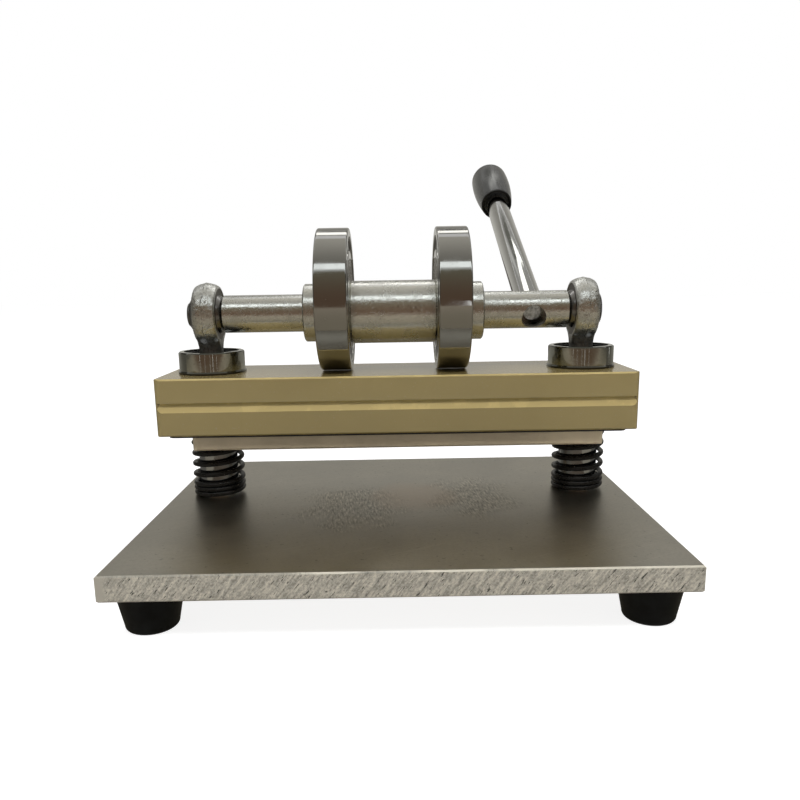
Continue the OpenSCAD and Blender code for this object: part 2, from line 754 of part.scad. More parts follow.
module guide_bush(side) {
    bore_r = post_d / 2 + running_fit;
    sleeve_h = beam_top - beam_z;
    seat_r = wiper_d / 2 + seat_fit;
    head_r = bush_head_d / 2;
    h = bush_top - beam_z;
    color(steel) at_post(side, beam_z) rotate_extrude() polygon([
        [bore_r, 0], [bush_sleeve_d / 2, 0], [bush_sleeve_d / 2, sleeve_h],
        [head_r + bush_lip, sleeve_h], [head_r + bush_lip, sleeve_h + bush_lip_h],
        [head_r, sleeve_h + bush_lip_h + bush_lip], [head_r, h - bush_bevel],
        [head_r - bush_bevel, h], [seat_r, h], [seat_r, h - wiper_sink - wiper_t],
        [bore_r, h - wiper_sink - wiper_t],
    ]);
}
module wiper(side) {
    color(black_rubber) at_post(side, bush_top - wiper_sink - wiper_t) difference() {
        cylinder(d = wiper_d, h = wiper_t);
        translate([0, 0, -cut]) cylinder(d = post_d + 2 * moving_gap, h = wiper_t + 2 * cut);
    }
}

base_plate();
foot(-1, -1);  // foot_front_left
foot(1, -1);  // foot_front_right
foot(-1, 1);  // foot_back_left
foot(1, 1);  // foot_back_right
foot_screws();
foot_washers();
guide_post(-1);  // guide_post_left
guide_post(1);  // guide_post_right
post_bolts();
post_washers();
rod_end(-1);  // rod_end_left
rod_end(1);  // rod_end_right
race_insert(-1);  // race_insert_left
race_insert(1);  // race_insert_right
spring(-1);  // spring_left
spring(1);  // spring_right
eccentric_shaft();
pivot_ball(-1);  // pivot_ball_left
pivot_ball(1);  // pivot_ball_right
collar(-1);  // collar_left
collar(1);  // collar_right
collar_screws();
inner_ring(-1);  // inner_ring_left
inner_ring(1);  // inner_ring_right
lever_rod();
lever_knob();
outer_ring(-1);  // outer_ring_left
outer_ring(1);  // outer_ring_right
shields(-1);  // shields_left
shields(1);  // shields_right
bearing_balls(-1);  // bearing_balls_left
bearing_balls(1);  // bearing_balls_right
ball_cage(-1);  // ball_cage_left
ball_cage(1);  // ball_cage_right
upper_beam_plate();
lower_beam_plate();
beam_bolts();
backing_sheet();
press_pad();
pad_screws();
guide_bush(-1);  // guide_bush_left
guide_bush(1);  // guide_bush_right
wiper(-1);  // wiper_left
wiper(1);  // wiper_right
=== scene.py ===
import math

import bmesh
import bpy
from bpy.props import FloatProperty, FloatVectorProperty, IntProperty, PointerProperty
from mathutils import Matrix, Vector, noise


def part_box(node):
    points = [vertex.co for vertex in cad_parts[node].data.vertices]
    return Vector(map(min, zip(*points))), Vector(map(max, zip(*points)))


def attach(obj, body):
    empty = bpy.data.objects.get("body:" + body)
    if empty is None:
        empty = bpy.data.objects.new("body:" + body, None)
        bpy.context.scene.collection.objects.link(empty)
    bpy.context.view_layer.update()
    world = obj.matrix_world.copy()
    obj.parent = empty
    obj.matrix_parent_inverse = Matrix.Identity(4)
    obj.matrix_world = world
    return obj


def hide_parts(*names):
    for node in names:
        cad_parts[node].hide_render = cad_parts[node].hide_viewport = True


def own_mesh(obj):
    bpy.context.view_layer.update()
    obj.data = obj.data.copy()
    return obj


bl_info = {
    "name": "Die cutting press",
    "version": (1, 0, 0),
    "blender": (4, 5, 0),
    "location": "3D View > Sidebar > Press",
    "description": "Finishes and fine pieces of a hand lever die cutting press",
    "category": "Object",
}

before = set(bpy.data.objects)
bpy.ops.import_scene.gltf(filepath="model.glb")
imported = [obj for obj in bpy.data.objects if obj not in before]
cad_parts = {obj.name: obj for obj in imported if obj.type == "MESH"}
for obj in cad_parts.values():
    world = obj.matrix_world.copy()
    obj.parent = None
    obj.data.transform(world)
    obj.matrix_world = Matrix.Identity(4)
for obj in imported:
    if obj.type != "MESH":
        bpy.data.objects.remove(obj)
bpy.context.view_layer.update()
SIDES = ("left", "right")
MM = 0.001


def middle(node):
    """Middle of a node's box."""
    low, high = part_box(node)
    return (low + high) / 2


PLATE_LOW, PLATE_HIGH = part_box("base_plate")
PLATE_MIDDLE = middle("base_plate")
PLATE_TOP = PLATE_HIGH.z
BEAM_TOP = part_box("upper_beam_plate")[1].z
SHAFT = middle("pivot_ball_left")
SHAFT_TIP = max(abs(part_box("collar_left")[0].x), abs(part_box("pivot_ball_left")[0].x))
LEVER_X = middle("lever_rod").x
POST_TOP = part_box("guide_post_left")[1].z
PAD_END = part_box("press_pad")[1].x


# Sizes and colours that a user would change

def length(name, description, size):
    """A length, its size given in millimetres."""
    return FloatProperty(name=name, description=description, default=size * MM, unit="LENGTH", precision=5)


def count(name, description, default):
    """A plain number."""
    return FloatProperty(name=name, description=description, default=default)


def tilt(name, description, degrees):
    """An angle."""
    return FloatProperty(name=name, description=description, default=math.radians(degrees), subtype="ANGLE")


def colour(name, description, default):
    """A colour."""
    return FloatVectorProperty(
        name=name, description=description, default=default, subtype="COLOR", size=3, min=0.0, max=1.0
    )


class PressSizes(bpy.types.PropertyGroup):
    """Sizes of the pieces that are shaped here."""

    wire_d: length("Spring wire", "Diameter of the spring wire", 3.2)
    spring_od: length("Spring diameter", "Outer diameter of a spring", 34)
    low_turns: count("Low turns", "Closed turns at the foot of a spring", 2.5)
    open_turns: count("Open turns", "Open turns of a spring", 4.5)
    high_turns: count("High turns", "Closed turns at the head of a spring", 1.0)
    closed_pitch: length("Closed pitch", "Rise of a closed turn", 3.214)
    spring_start: tilt("Wire end", "Where the wire starts, seen from above", 98)
    eye_d: length("Eye diameter", "Outer diameter of a rod end's eye", 41)
    eye_w: length("Eye width", "Width of a rod end's eye", 15)
    eye_crown: length("Eye crown", "Radius of the eye's crowned rim", 13)
    neck_top_d: length("Neck head", "Width of the neck under the eye", 24)
    neck_foot_d: length("Neck foot", "Diameter of the neck above the post", 16)
    lever_angle: tilt("Lever angle", "Tilt of the lever over the horizon", 26)
    lever_reach: length("Lever reach", "From the shaft's middle to the knob", 187)
    lever_d: length("Lever", "Diameter of the lever", 17.5)
    tang_d: length("Tang", "Diameter of the lever's end in the shaft", 11.5)
    tang_depth: length("Tang depth", "From the shaft's middle to the lever's end", 4)
    knob_len: length("Knob length", "Length of the knob", 65)
    knob_base_d: length("Knob base", "Diameter of the knob's base", 25)
    knob_max_d: length("Knob swell", "Largest diameter of the knob", 32)
    knob_swell_at: length("Swell place", "From the knob's base to its swell", 44)
    knob_end_r: length("Knob end", "Rounding of the knob's free end", 9)
    knob_stud_d: length("Knob stud", "Diameter of the stud inside the knob", 12)
    knob_stud_len: length("Stud length", "Depth of the stud's hole", 45)
    knob_recess: length("Knob recess", "Depth of the ring sunk into the knob's base", 2.4)
    forge_skin: length("Forged skin", "Height of the forged skin's waves", 0.16)
    forge_seam: length("Forged seam", "Height of the seam round the eye", 0.30)
    forge_cell: length("Forged cell", "Size of the forged skin's faces", 0.55)
    shield_step: length("Shield step", "Depth of the shields' pressed step", 0.4)
    socket_depth: count("Socket depth", "Depth of a screw's socket as a share of its head", 0.6)


class PressColours(bpy.types.PropertyGroup):
    """Colours of the finishes."""

    paint: colour("Beam paint", "Cream enamel of the beam", (0.325, 0.252, 0.103))
    board: colour("Pad board", "Pale board of the press pad", (0.54, 0.44, 0.29))
    # Near-black, painting the shade of the dark line between beam and pad
    sheet: colour("Backing sheet", "Dark sheet over the pad", (0.022, 0.017, 0.013))
    rubber: colour("Rubber", "Black rubber of feet and wipers", (0.006, 0.0065, 0.0065))
    dust: colour("Dust", "Dust on the rubber", (0.04, 0.038, 0.035))
    plastic: colour("Knob", "Dark grey plastic of the knob", (0.050, 0.050, 0.048))
    wire: colour("Spring wire", "Black oiled spring wire", (0.008, 0.0075, 0.007))
    worn_wire: colour("Worn wire", "Rubbed places of the spring wire", (0.06, 0.056, 0.05))
    plate: colour("Plate top", "Ground metal of the base plate", (0.49, 0.465, 0.41))
    sawn: colour("Sawn edge", "Bright sawn edge of the base plate", (0.62, 0.58, 0.49))
    tarnish: colour("Tarnish", "Browned place on the plate's top", (0.56, 0.44, 0.34))
    fastener: colour("Fastener steel", "Steel of the bolts and screws", (0.50, 0.49, 0.46))
    washer: colour("Washer zinc", "Dull plating of the washers", (0.60, 0.59, 0.55))
    post: colour("Post steel", "Ground steel of the guide posts", (0.50, 0.52, 0.55))
    bush: colour("Bush steel", "Turned steel of the guide bushes", (0.43, 0.435, 0.39))
    liner: colour("Race liner", "Liner in a rod end's eye", (0.30, 0.295, 0.28))
    ball: colour("Ball steel", "Polished steel of the balls", (0.24, 0.235, 0.23))
    bearing: colour("Bearing steel", "Ground steel of the rollers", (0.40, 0.395, 0.38))
    shield: colour("Shield steel", "Dark steel of shields and cages", (0.13, 0.125, 0.115))
    zinc: colour("Zinc", "Bright zinc plating", (0.70, 0.70, 0.665))
    forged: colour("Forged zinc", "Plated skin of the rod ends", (0.72, 0.725, 0.70))
    chrome: colour("Chrome", "Chrome plating of the lever", (0.62, 0.62, 0.61))


# Node trees

def sum_of(operation):
    """A method for one kind of sum in which the value stands first."""
    def method(self, other=0.0):
        return self.nodes.node("ShaderNodeMath", {0: self, 1: other}, operation=operation)
    return method


def sum_after(operation):
    """A method for one kind of sum in which the value stands last."""
    def method(self, other):
        return self.nodes.node("ShaderNodeMath", {0: other, 1: self}, operation=operation)
    return method


class Value:
    """One output of a node, which can stand in a sum."""

    __add__ = sum_of("ADD")
    __radd__ = sum_after("ADD")
    __sub__ = sum_of("SUBTRACT")
    __rsub__ = sum_after("SUBTRACT")
    __mul__ = sum_of("MULTIPLY")
    __truediv__ = sum_of("DIVIDE")
    __pow__ = sum_of("POWER")
    __abs__ = sum_of("ABSOLUTE")
    most = sum_of("MAXIMUM")
    least = sum_of("MINIMUM")
    sine = sum_of("SINE")
    cosine = sum_of("COSINE")

    def __init__(self, nodes, socket):
        self.nodes = nodes
        self.socket = socket


class Nodes:
    """Adds nodes to a tree, with values or links for their sockets and with settings."""

    def __init__(self, tree):
        self.tree = tree

    def node(self, kind, sockets=(), out=0, **settings):
        made = self.tree.nodes.new(kind)
        for name, value in settings.items():
            setattr(made, name, value)
        for key, value in dict(sockets).items():
            self.feed(made.inputs[key], value)
        return Value(self, made.outputs[out])

    def feed(self, socket, value):
        if isinstance(value, Value):
            self.tree.links.new(value.socket, socket)
        elif socket.type == "RGBA":
            socket.default_value = (*value, 1.0)
        else:
            socket.default_value = value

    def other(self, value, out):
        """Another output of the node that a value comes from."""
        return Value(self, value.socket.node.outputs[out])

    def parts(self, vector):
        x = self.node("ShaderNodeSeparateXYZ", {0: vector})
        return x, self.other(x, 1), self.other(x, 2)

    def joined(self, x, y, z):
        return self.node("ShaderNodeCombineXYZ", {0: x, 1: y, 2: z})

    def fit(self, value, low, high, to_low=0.0, to_high=1.0):
        """A value brought softly from one range to another."""
        return self.node("ShaderNodeMapRange", {
            "Value": value, "From Min": low, "From Max": high, "To Min": to_low, "To Max": to_high,
        }, interpolation_type="SMOOTHSTEP")

    def blend(self, share, first, second):
        return self.node("ShaderNodeMix", {0: share, 6: first, 7: second}, out=2, data_type="RGBA")


class Shading(Nodes):
    """The tree of a new material, or of the world."""

    def __init__(self, holder, output="ShaderNodeOutputMaterial"):
        holder.use_nodes = True
        super().__init__(holder.node_tree)
        self.tree.nodes.clear()
        self.holder = holder
        self.exit = self.tree.nodes.new(output)

    def show(self, shader):
        self.feed(self.exit.inputs["Surface"], shader)
        return self.holder


def shade(tint, share):
    """A colour made lighter or darker."""
    return tuple(min(1.0, part * share) for part in tint)


class Finish(Shading):
    """A material written as expressions on Object coordinates, its grains and depths in millimetres."""

    def __init__(self, name):
        super().__init__(bpy.data.materials.new(name + "_finish"))
        self.shader = self.node("ShaderNodeBsdfPrincipled")
        self.show(self.shader)
        self.place = self.node("ShaderNodeTexCoord", out="Object")
        self.facing = self.other(self.place, "Normal")

    def turned(self, turn=(0, 0, 0), stretch=(1, 1, 1), shift=(0, 0, 0), place=None):
        """Coordinates of a pattern that is stretched and then turned."""
        return self.node("ShaderNodeMapping", {
            "Vector": place or self.place, "Location": shift, "Rotation": turn, "Scale": stretch,
        }, vector_type="TEXTURE")

    def noise(self, grain, detail, rough, place=None):
        return self.node("ShaderNodeTexNoise", {
            "Vector": place or self.place, "Scale": 1 / (grain * MM), "Detail": detail, "Roughness": rough,
        })

    def spots(self, grain, detail, rough, low, high, place=None):
        """Places where a noise rises past a limit."""
        return self.fit(self.noise(grain, detail, rough, place), low, high)

    def cells(self, grain):
        return self.node("ShaderNodeTexVoronoi", {"Vector": self.place, "Scale": 1 / (grain * MM)})

    def toned(self, pattern, tint, low, high, spread=0.2):
        """A colour that follows a pattern between two shades of one tint."""
        share = self.fit(pattern, 0.5 - spread, 0.5 + spread)
        return self.blend(share, shade(tint, low), shade(tint, high))

    def layers(self, base, tint, *layers):
        """A colour under shades of one tint, each laid on by its own share."""
        for share, factor in layers:
            base = self.blend(share, base, shade(tint, factor))
        return base

    def bump(self, height, depth):
        return self.node("ShaderNodeBump", {"Strength": 1.0, "Distance": depth * MM, "Height": height})

    def set(self, **sockets):
        """Feeds the shader's sockets, whose names are written with underscores."""
        for name, value in sockets.items():
            self.feed(self.shader.socket.node.inputs[name.replace("_", " ")], value)


# Finishes

# Ovals on the plate's top: place from its middle, half width and half depth
PATCHES = ((-29 * MM, -6 * MM, 36 * MM, 48 * MM), (47 * MM, 8 * MM, 29 * MM, 52 * MM))
HANDLED = (10 * MM, 12 * MM, 30 * MM, 34 * MM)

SAW_SLANT = (0, math.radians(38), 0)
X_AXIS, Z_AXIS = 0, 2


def oval(x, y, across, deep, width, depth):
    """Rises from nought at an oval's middle to one at its rim."""
    return ((x - PLATE_MIDDLE.x - across) / width) ** 2.0 + ((y - PLATE_MIDDLE.y - deep) / depth) ** 2.0


def rough_patches(make, x, y):
    """Two worn patches on the plate's top, under the pad."""
    ragged = (make.noise(22, 4.0, 0.65) - 0.5) * 3.2
    first, second = (1 - make.fit(oval(x, y, *patch) + ragged, 0.10, 1.25) for patch in PATCHES)
    return first.most(second)


def handled_place(make, x, y):
    """A browned place between the worn patches."""
    ragged = (make.noise(30, 3.0, 0.6) - 0.5) * 1.6
    return 1 - make.fit(oval(x, y, *HANDLED) + ragged, 0.2, 1.2)


def plate_finish(colours):
    """Ground top with worn patches, sawn edges and a bright rim that is partly wear and partly a painted
    highlight.
    """
    make = Finish("plate_metal")
    x, y, z = make.parts(make.place)
    up = abs(make.parts(make.facing)[2])
    top = make.fit(up, 0.55, 0.85)

    cloud = make.noise(55, 5.0, 0.6)
    grain = make.noise(1.6, 4.0, 0.65)
    speck = make.spots(2.6, 2.0, 0.5, 0.67, 0.73, make.turned(shift=(1.3, 0.2, 0.7)))
    scratch = make.spots(1, 2.0, 0.5, 0.62, 0.74, make.turned((0, 0, 0.5), (50, 1, 1)))
    patch = rough_patches(make, x, y)
    wrinkle = make.noise(1.1, 2.0, 0.6, make.turned((0, 0, 0.12), (1, 6, 1)))
    ground = make.layers(
        make.toned(cloud, colours.plate, 0.86, 1.06), colours.plate,
        (make.fit(grain, 0.35, 0.7) * 0.3, 0.76),
        (speck * 0.5, 0.35),
        (scratch * 0.25, 1.3),
        (patch * make.fit(wrinkle, 0.52, 0.64) * 0.55, 1.7),
        (patch * make.fit(wrinkle, 0.48, 0.36) * 0.55, 0.32),
    )
    ground = make.blend(handled_place(make, x, y) * 0.35, ground, colours.tarnish)
    rough_top = make.fit(cloud, 0.25, 0.75, 0.27, 0.36) + grain * 0.10 + patch * 0.06
    relief_top = grain * 0.10 - speck * 0.12 - scratch * 0.05 + patch * wrinkle * 0.9

    along = make.joined(x + y, 0.0, z)
    coarse = make.noise(1.7, 2.0, 0.6, make.turned(SAW_SLANT, (1, 1, 5), place=along))
    fine = make.noise(0.5, 3.0, 0.7, make.turned(SAW_SLANT, (1, 1, 6), place=along))
    pore = make.noise(1.2, 3.0, 0.7, along)
    blotch = make.noise(12, 4.0, 0.6, along)
    calm = make.fit(x, PLATE_LOW.x + 3 * MM, PLATE_LOW.x + 6 * MM)
    dash = make.turned(SAW_SLANT, (0.5, 1, 3.0), place=along)
    nick = make.spots(2.1, 2.0, 0.5, 0.635, 0.66, dash) * calm
    saw = 0.5 + (coarse * 0.42 + fine * 0.22 + pore * 0.36 - 0.5) * calm
    sawn = make.layers(
        make.toned(saw, colours.sawn, 0.46, 1.16, 0.12), colours.sawn,
        (make.fit(blotch, 0.45, 0.75) * 0.3, 0.72),
        (nick * 0.9, 0.07),
    )
    rough_side = make.fit(saw, 0.3, 0.7, 0.62, 0.46) + nick * 0.3
    relief_side = saw * 0.9 - nick * 0.8

    # Bright rim at the top of the sawn sides, paler and smoother and brighter towards the right: partly wear,
    # partly a painted highlight
    rim = make.fit(z, PLATE_TOP - 1.2 * MM, PLATE_TOP - 0.6 * MM) * (1 - make.fit(up, 0.93, 0.99))
    worn = rim * make.fit(make.noise(30, 3.0, 0.6, along) + x * 1.2, 0.40, 0.58)
    make.set(
        Base_Color=make.layers(make.blend(top, sawn, ground), colours.sawn, (worn * 0.9, 1.30)),
        Metallic=0.25 + top * 0.75 - nick * (1 - top) * 0.2,
        Roughness=rough_side + (rough_top - rough_side) * top - worn * 0.12,
        Normal=make.bump(relief_side + (relief_top - relief_side) * top, 0.16),
    )


def paint_finish(colours):
    """Cream enamel, with a painted highlight on faces sloping upwards, as on the groove between the beam's
    plates.
    """
    make = Finish("beam_paint")
    up = make.parts(make.facing)[2]
    cloud = make.noise(60, 4.0, 0.55)
    peel = make.noise(2.8, 2.0, 0.5)
    dust = make.spots(1.3, 3.0, 0.6, 0.66, 0.76)
    drip = make.spots(10, 3.0, 0.6, 0.5, 0.75, make.turned(stretch=(1, 1, 7)))
    # Painted highlight: paler paint on upward-sloping faces such as the groove's lower flank, made patchy by
    # this noise
    edge = make.spots(15, 4.0, 0.6, 0.5, 0.62)
    painted_highlight_slope = make.fit(up, 0.15, 0.4) * (1 - make.fit(up, 0.85, 0.97))
    base = make.layers(
        make.toned(cloud, colours.paint, 0.97, 1.03), colours.paint,
        (dust * 0.30, 0.5),
        (drip * 0.04, 0.7),
        (painted_highlight_slope * (0.50 + edge * 0.18), 2.2),
    )
    make.set(
        Base_Color=base,
        Roughness=make.fit(cloud, 0.2, 0.8, 0.23, 0.27) + dust * 0.3,
        Coat_Weight=0.55,
        Coat_Roughness=0.10,
        Normal=make.bump(peel * 0.7 + dust * 0.4, 0.05),
    )


def turned_steel(name, tint, axis, rough, depth, grime=0.25, marks_and_shade=None):
    """Turned or ground metal whose fine rings run round an axis."""
    make = Finish(name)
    stretch = [30, 30, 30]
    stretch[axis] = 1
    rings = make.noise(0.6, 2.0, 0.6, make.turned(stretch=stretch))
    cloud = make.noise(12, 4.0, 0.6)
    spot = make.spots(1.8, 3.0, 0.55, 0.64, 0.74)
    base = make.layers(tint, tint, (make.fit(cloud, 0.35, 0.7) * grime, 0.45), (spot * grime, 0.27))
    # Darker places where given, such as the painted shade on the bushes' chamfers and foot
    if marks_and_shade is not None:
        base = make.layers(base, tint, (marks_and_shade(make), 0.12))
    make.set(
        Base_Color=base,
        Metallic=1.0,
        Roughness=rough + make.fit(cloud, 0.3, 0.7, -0.03, 0.06) + rings * 0.06 + spot * 0.15,
        Normal=make.bump(rings + spot * 0.5, depth),
    )


def plating_finish(name, tint, rough, grain, depth, stain, marks_and_shade):
    """Zinc plating with a fine sparkling grain, dull stains and dark places."""
    make = Finish(name)
    crystal = make.noise(grain, 3.0, 0.7)
    fleck = make.cells(grain * 1.6)
    cloud = make.noise(10, 4.0, 0.6)
    pit = make.spots(2.4, 3.0, 0.6, 0.63, 0.72)
    # Dark places: the unplated shaft ends, the rod ends' seams, and their necks, which are partly painted
    # shade
    dark = marks_and_shade(make)
    base = make.layers(
        tint, tint,
        (make.fit(cloud, 0.4, 0.72) * stain, 0.42),
        (make.fit(crystal, 0.35, 0.7) * 0.30, 1.25),
        (pit * stain, 0.22),
        (make.fit(crystal, 0.48, 0.32) * (stain * 1.5), 0.35),
        (dark, 0.06),
    )
    make.set(
        Base_Color=base,
        Metallic=1.0,
        Roughness=rough + make.fit(cloud, 0.35, 0.75, -0.04, 0.12) + crystal * 0.12 + dark * 0.35,
        Normal=make.bump(crystal * 0.7 + fleck * 0.5 - pit * 0.7, depth),
    )


def bush_painted_shade(make):
    """Painted shade on a bush's chamfers and where it meets the beam."""
    up = abs(make.parts(make.facing)[2])
    # Painted shade: darker chamfers, and a darker foot where the bush meets the beam
    chamfer = make.fit(up, 0.10, 0.30) * (1 - make.fit(up, 0.90, 0.98))
    foot = 1 - make.fit(make.parts(make.place)[2], BEAM_TOP + 0.8 * MM, BEAM_TOP + 2.0 * MM)
    return (chamfer * 0.8).most(foot * 0.9)


def shaft_soot(make):
    """Unplated ends of the shaft."""
    x = make.parts(make.place)[0]
    return make.fit(abs(x), SHAFT_TIP - 0.8 * MM, SHAFT_TIP + 0.8 * MM) * 0.75


def forged_seam_and_neck_shade(make):
    """Dark broken seam round the eye of a rod end, and a neck darker towards the post, partly oil and partly
    painted shade.
    """
    x, _, z = make.parts(make.place)
    across = abs(x) - abs(SHAFT.x) + (make.noise(7, 3.0, 0.6) - 0.5) * (4.5 * MM)
    seam = 1 - make.fit(abs(across), 0.08 * MM, 0.32 * MM)
    broken = make.spots(4.5, 3.0, 0.6, 0.44, 0.54, make.turned(shift=(0.4, 0.1, 0.9)))
    # The neck darkens downwards towards the post: partly oil, partly painted shade
    ragged = z + (make.noise(6, 3.0, 0.6) - 0.5) * (5 * MM)
    neck = 1 - make.fit(ragged, POST_TOP + 2 * MM, POST_TOP + 14 * MM)
    return (seam * broken * 0.8).most(neck * 0.6)


def rubber_finish(colours):
    """Dull black rubber with a little dust."""
    make = Finish("foot_rubber")
    grain = make.noise(0.9, 3.0, 0.6)
    cloud = make.noise(11, 4.0, 0.6)
    dust = make.spots(4, 4.0, 0.65, 0.55, 0.8)
    make.set(
        Base_Color=make.blend(dust * 0.06, make.toned(cloud, colours.rubber, 0.7, 1.6), colours.dust),
        Specular_IOR_Level=0.12,
        Roughness=make.fit(cloud, 0.3, 0.7, 0.48, 0.62) + dust * 0.15,
        Normal=make.bump(grain, 0.05),
    )


def wire_finish(colours):
    """Black oiled wire, rubbed in places."""
    make = Finish("spring_wire")
    drawn = make.noise(1.2, 3.0, 0.6)
    cloud = make.noise(6, 3.0, 0.6)
    worn = make.spots(3, 4.0, 0.6, 0.60, 0.75)
    make.set(
        Base_Color=make.blend(worn * 0.2, make.toned(cloud, colours.wire, 0.7, 1.7), colours.worn_wire),
        Specular_IOR_Level=0.35,
        Roughness=make.fit(cloud, 0.3, 0.7, 0.24, 0.36) + worn * 0.1,
        Coat_Weight=0.06,
        Coat_Roughness=0.12,
        Normal=make.bump(drawn, 0.02),
    )


def lever_place(make, stretch=(1, 1, 1)):
    """Coordinates from the shaft's middle with the lever along Y."""
    lean = bpy.context.scene.press_sizes.lever_angle
    return make.turned((lean, 0, 0), stretch, (LEVER_X, SHAFT.y, SHAFT.z))


def knob_finish(colours):
    """Dark plastic with fine lines along the knob and a dark sunk base."""
    make = Finish("knob_plastic")
    sizes = bpy.context.scene.press_sizes
    draw = make.noise(1.6, 3.0, 0.6, lever_place(make, (1, 25, 1)))
    grain = make.noise(0.8, 2.0, 0.5)
    cloud = make.noise(14, 3.0, 0.6)
    scuff = make.spots(3.5, 4.0, 0.65, 0.62, 0.78)
    reach = make.parts(lever_place(make))[1]
    foot = 1 - make.fit(reach, sizes.lever_reach + 1.2 * MM, sizes.lever_reach + 3.2 * MM)
    base = make.toned(cloud, colours.plastic, 0.88, 1.12)
    make.set(
        Base_Color=make.layers(base, colours.plastic, (scuff * 0.25, 1.6), (foot, 0.06)),
        Roughness=make.fit(draw, 0.3, 0.7, 0.17, 0.24) + scuff * 0.10 + foot * 0.2,
        Normal=make.bump(draw * 0.7 + grain * 0.15, 0.012),
    )


def chrome_finish(colours):
    """Polished lever, its sunk end dull and mottled."""
    make = Finish("lever_chrome")
    rings = make.noise(0.5, 2.0, 0.6, lever_place(make, (30, 1, 30)))
    cloud = make.noise(12, 4.0, 0.6)
    mottle = make.noise(3.2, 4.0, 0.7)
    reach = make.parts(lever_place(make))[1]
    depth = bpy.context.scene.press_sizes.tang_depth
    end = 1 - make.fit(reach, 1 * MM - depth, 2 * MM - depth)
    polish = make.layers(colours.chrome, colours.chrome, (make.fit(cloud, 0.35, 0.7) * 0.08, 0.5))
    dull = make.toned(mottle, colours.chrome, 0.45, 1.15, 0.15)
    make.set(
        Base_Color=make.blend(end, polish, dull),
        Metallic=1 - end * 0.6,
        Roughness=0.07 + make.fit(cloud, 0.3, 0.7, -0.02, 0.04) + end * (mottle * 0.2 + 0.28),
        Normal=make.bump(rings * (1 - end) * 0.03 + mottle * end, 0.1),
    )


def board_finish(colours):
    """Pale board with marks, cut lines and a paler right end."""
    make = Finish("pad_board")
    fibre = make.noise(1.1, 4.0, 0.65, make.turned(stretch=(3, 1, 1)))
    cloud = make.noise(30, 4.0, 0.6)
    mark = make.spots(6, 4.0, 0.65, 0.58, 0.76)
    cutline = make.spots(1.6, 2.0, 0.5, 0.66, 0.72, make.turned((0, 0, 0.9), (20, 1, 1)))
    ragged = make.parts(make.place)[0] + (cloud - 0.5) * (50 * MM)
    base = make.layers(
        make.toned(cloud, colours.board, 0.86, 1.08), colours.board,
        (mark * 0.3, 0.55),
        (make.fit(ragged, PAD_END - 45 * MM, PAD_END) * 0.6, 1.6),
        (make.fit(fibre, 0.35, 0.7) * 0.15, 1.25),
    )
    make.set(
        Base_Color=base,
        Roughness=make.fit(fibre, 0.3, 0.7, 0.45, 0.6),
        Normal=make.bump(fibre * 0.6 - cutline * 0.5, 0.06),
    )


def shade_line_sheet_finish(colours):
    """Dark fibrous sheet between beam and pad, near-black as painted shade of the dark line there."""
    make = Finish("sheet_dark")
    fibre = make.noise(1.6, 4.0, 0.65)
    cloud = make.noise(20, 4.0, 0.6)
    make.set(
        Base_Color=make.toned(cloud, colours.sheet, 0.6, 1.5),
        Roughness=make.fit(fibre, 0.3, 0.7, 0.5, 0.7),
        Normal=make.bump(fibre, 0.05),
    )


def pairs(*names):
    """The left and the right node of each name."""
    return tuple(name + "_" + side for name in names for side in SIDES)


FINISHES = {
    "plate_metal": ("base_plate",),
    "beam_paint": ("upper_beam_plate", "lower_beam_plate"),
    "foot_rubber": pairs("foot_front", "foot_back", "wiper"),
    "fastener_steel": ("foot_screws", "post_bolts", "beam_bolts", "pad_screws", "collar_screws"),
    "washer_zinc": ("foot_washers", "post_washers"),
    "post_steel": pairs("guide_post"),
    "bush_steel": pairs("guide_bush"),
    "rod_end_zinc": pairs("rod_end"),
    "race_liner": pairs("race_insert"),
    "spring_wire": pairs("spring"),
    "shaft_plating": ("eccentric_shaft", *pairs("collar")),
    "ball_steel": pairs("pivot_ball", "bearing_balls"),
    "bearing_steel": pairs("inner_ring", "outer_ring"),
    "shield_steel": pairs("shields", "ball_cage"),
    "lever_chrome": ("lever_rod",),
    "knob_plastic": ("lever_knob",),
    "sheet_dark": ("backing_sheet",),
    "pad_board": ("press_pad",),
}


def finish(name):
    """A finish that the finishes operator has made."""
    return bpy.data.materials[name + "_finish"]


# Mesh helpers

def linked(name, data):
    """A new object at the origin of the scene."""
    thing = bpy.data.objects.new(name, data)
    bpy.context.scene.collection.objects.link(thing)
    return thing


def new_piece(name, mesh, material, angle):
    """An object with one finish, smooth but for its edges sharper than an angle in degrees."""
    mesh.materials.clear()
    mesh.materials.append(finish(material))
    for face in mesh.polygons:
        face.use_smooth = True
        face.material_index = 0
    mesh.set_sharp_from_angle(angle=math.radians(angle))
    return linked(name, mesh)


def to_mesh(name, form):
    """A bmesh closed, turned outwards and kept as a mesh."""
    bmesh.ops.remove_doubles(form, verts=form.verts, dist=1e-6)
    bmesh.ops.recalc_face_normals(form, faces=form.faces)
    mesh = bpy.data.meshes.new(name)
    form.to_mesh(mesh)
    form.free()
    return mesh


def turn_profile(form, profile, origin, axis, steps):
    """Turns a closed profile of (radius, along) points round an axis."""
    axis = Vector(axis).normalized()
    side = axis.orthogonal().normalized()
    other = axis.cross(side)
    rings = []
    for step in range(steps):
        angle = 2 * math.pi * step / steps
        out = side * math.cos(angle) + other * math.sin(angle)
        rings.append([form.verts.new(origin + axis * along + out * radius) for radius, along in profile])
    points = len(profile)
    for step in range(steps):
        here, there = rings[step], rings[(step + 1) % steps]
        for point in range(points):
            after = (point + 1) % points
            corners = (here[point], here[after], there[after], there[point])
            flat = {tuple(round(part, 7) for part in corner.co) for corner in corners}
            if len(flat) > 2:
                form.faces.new(corners)


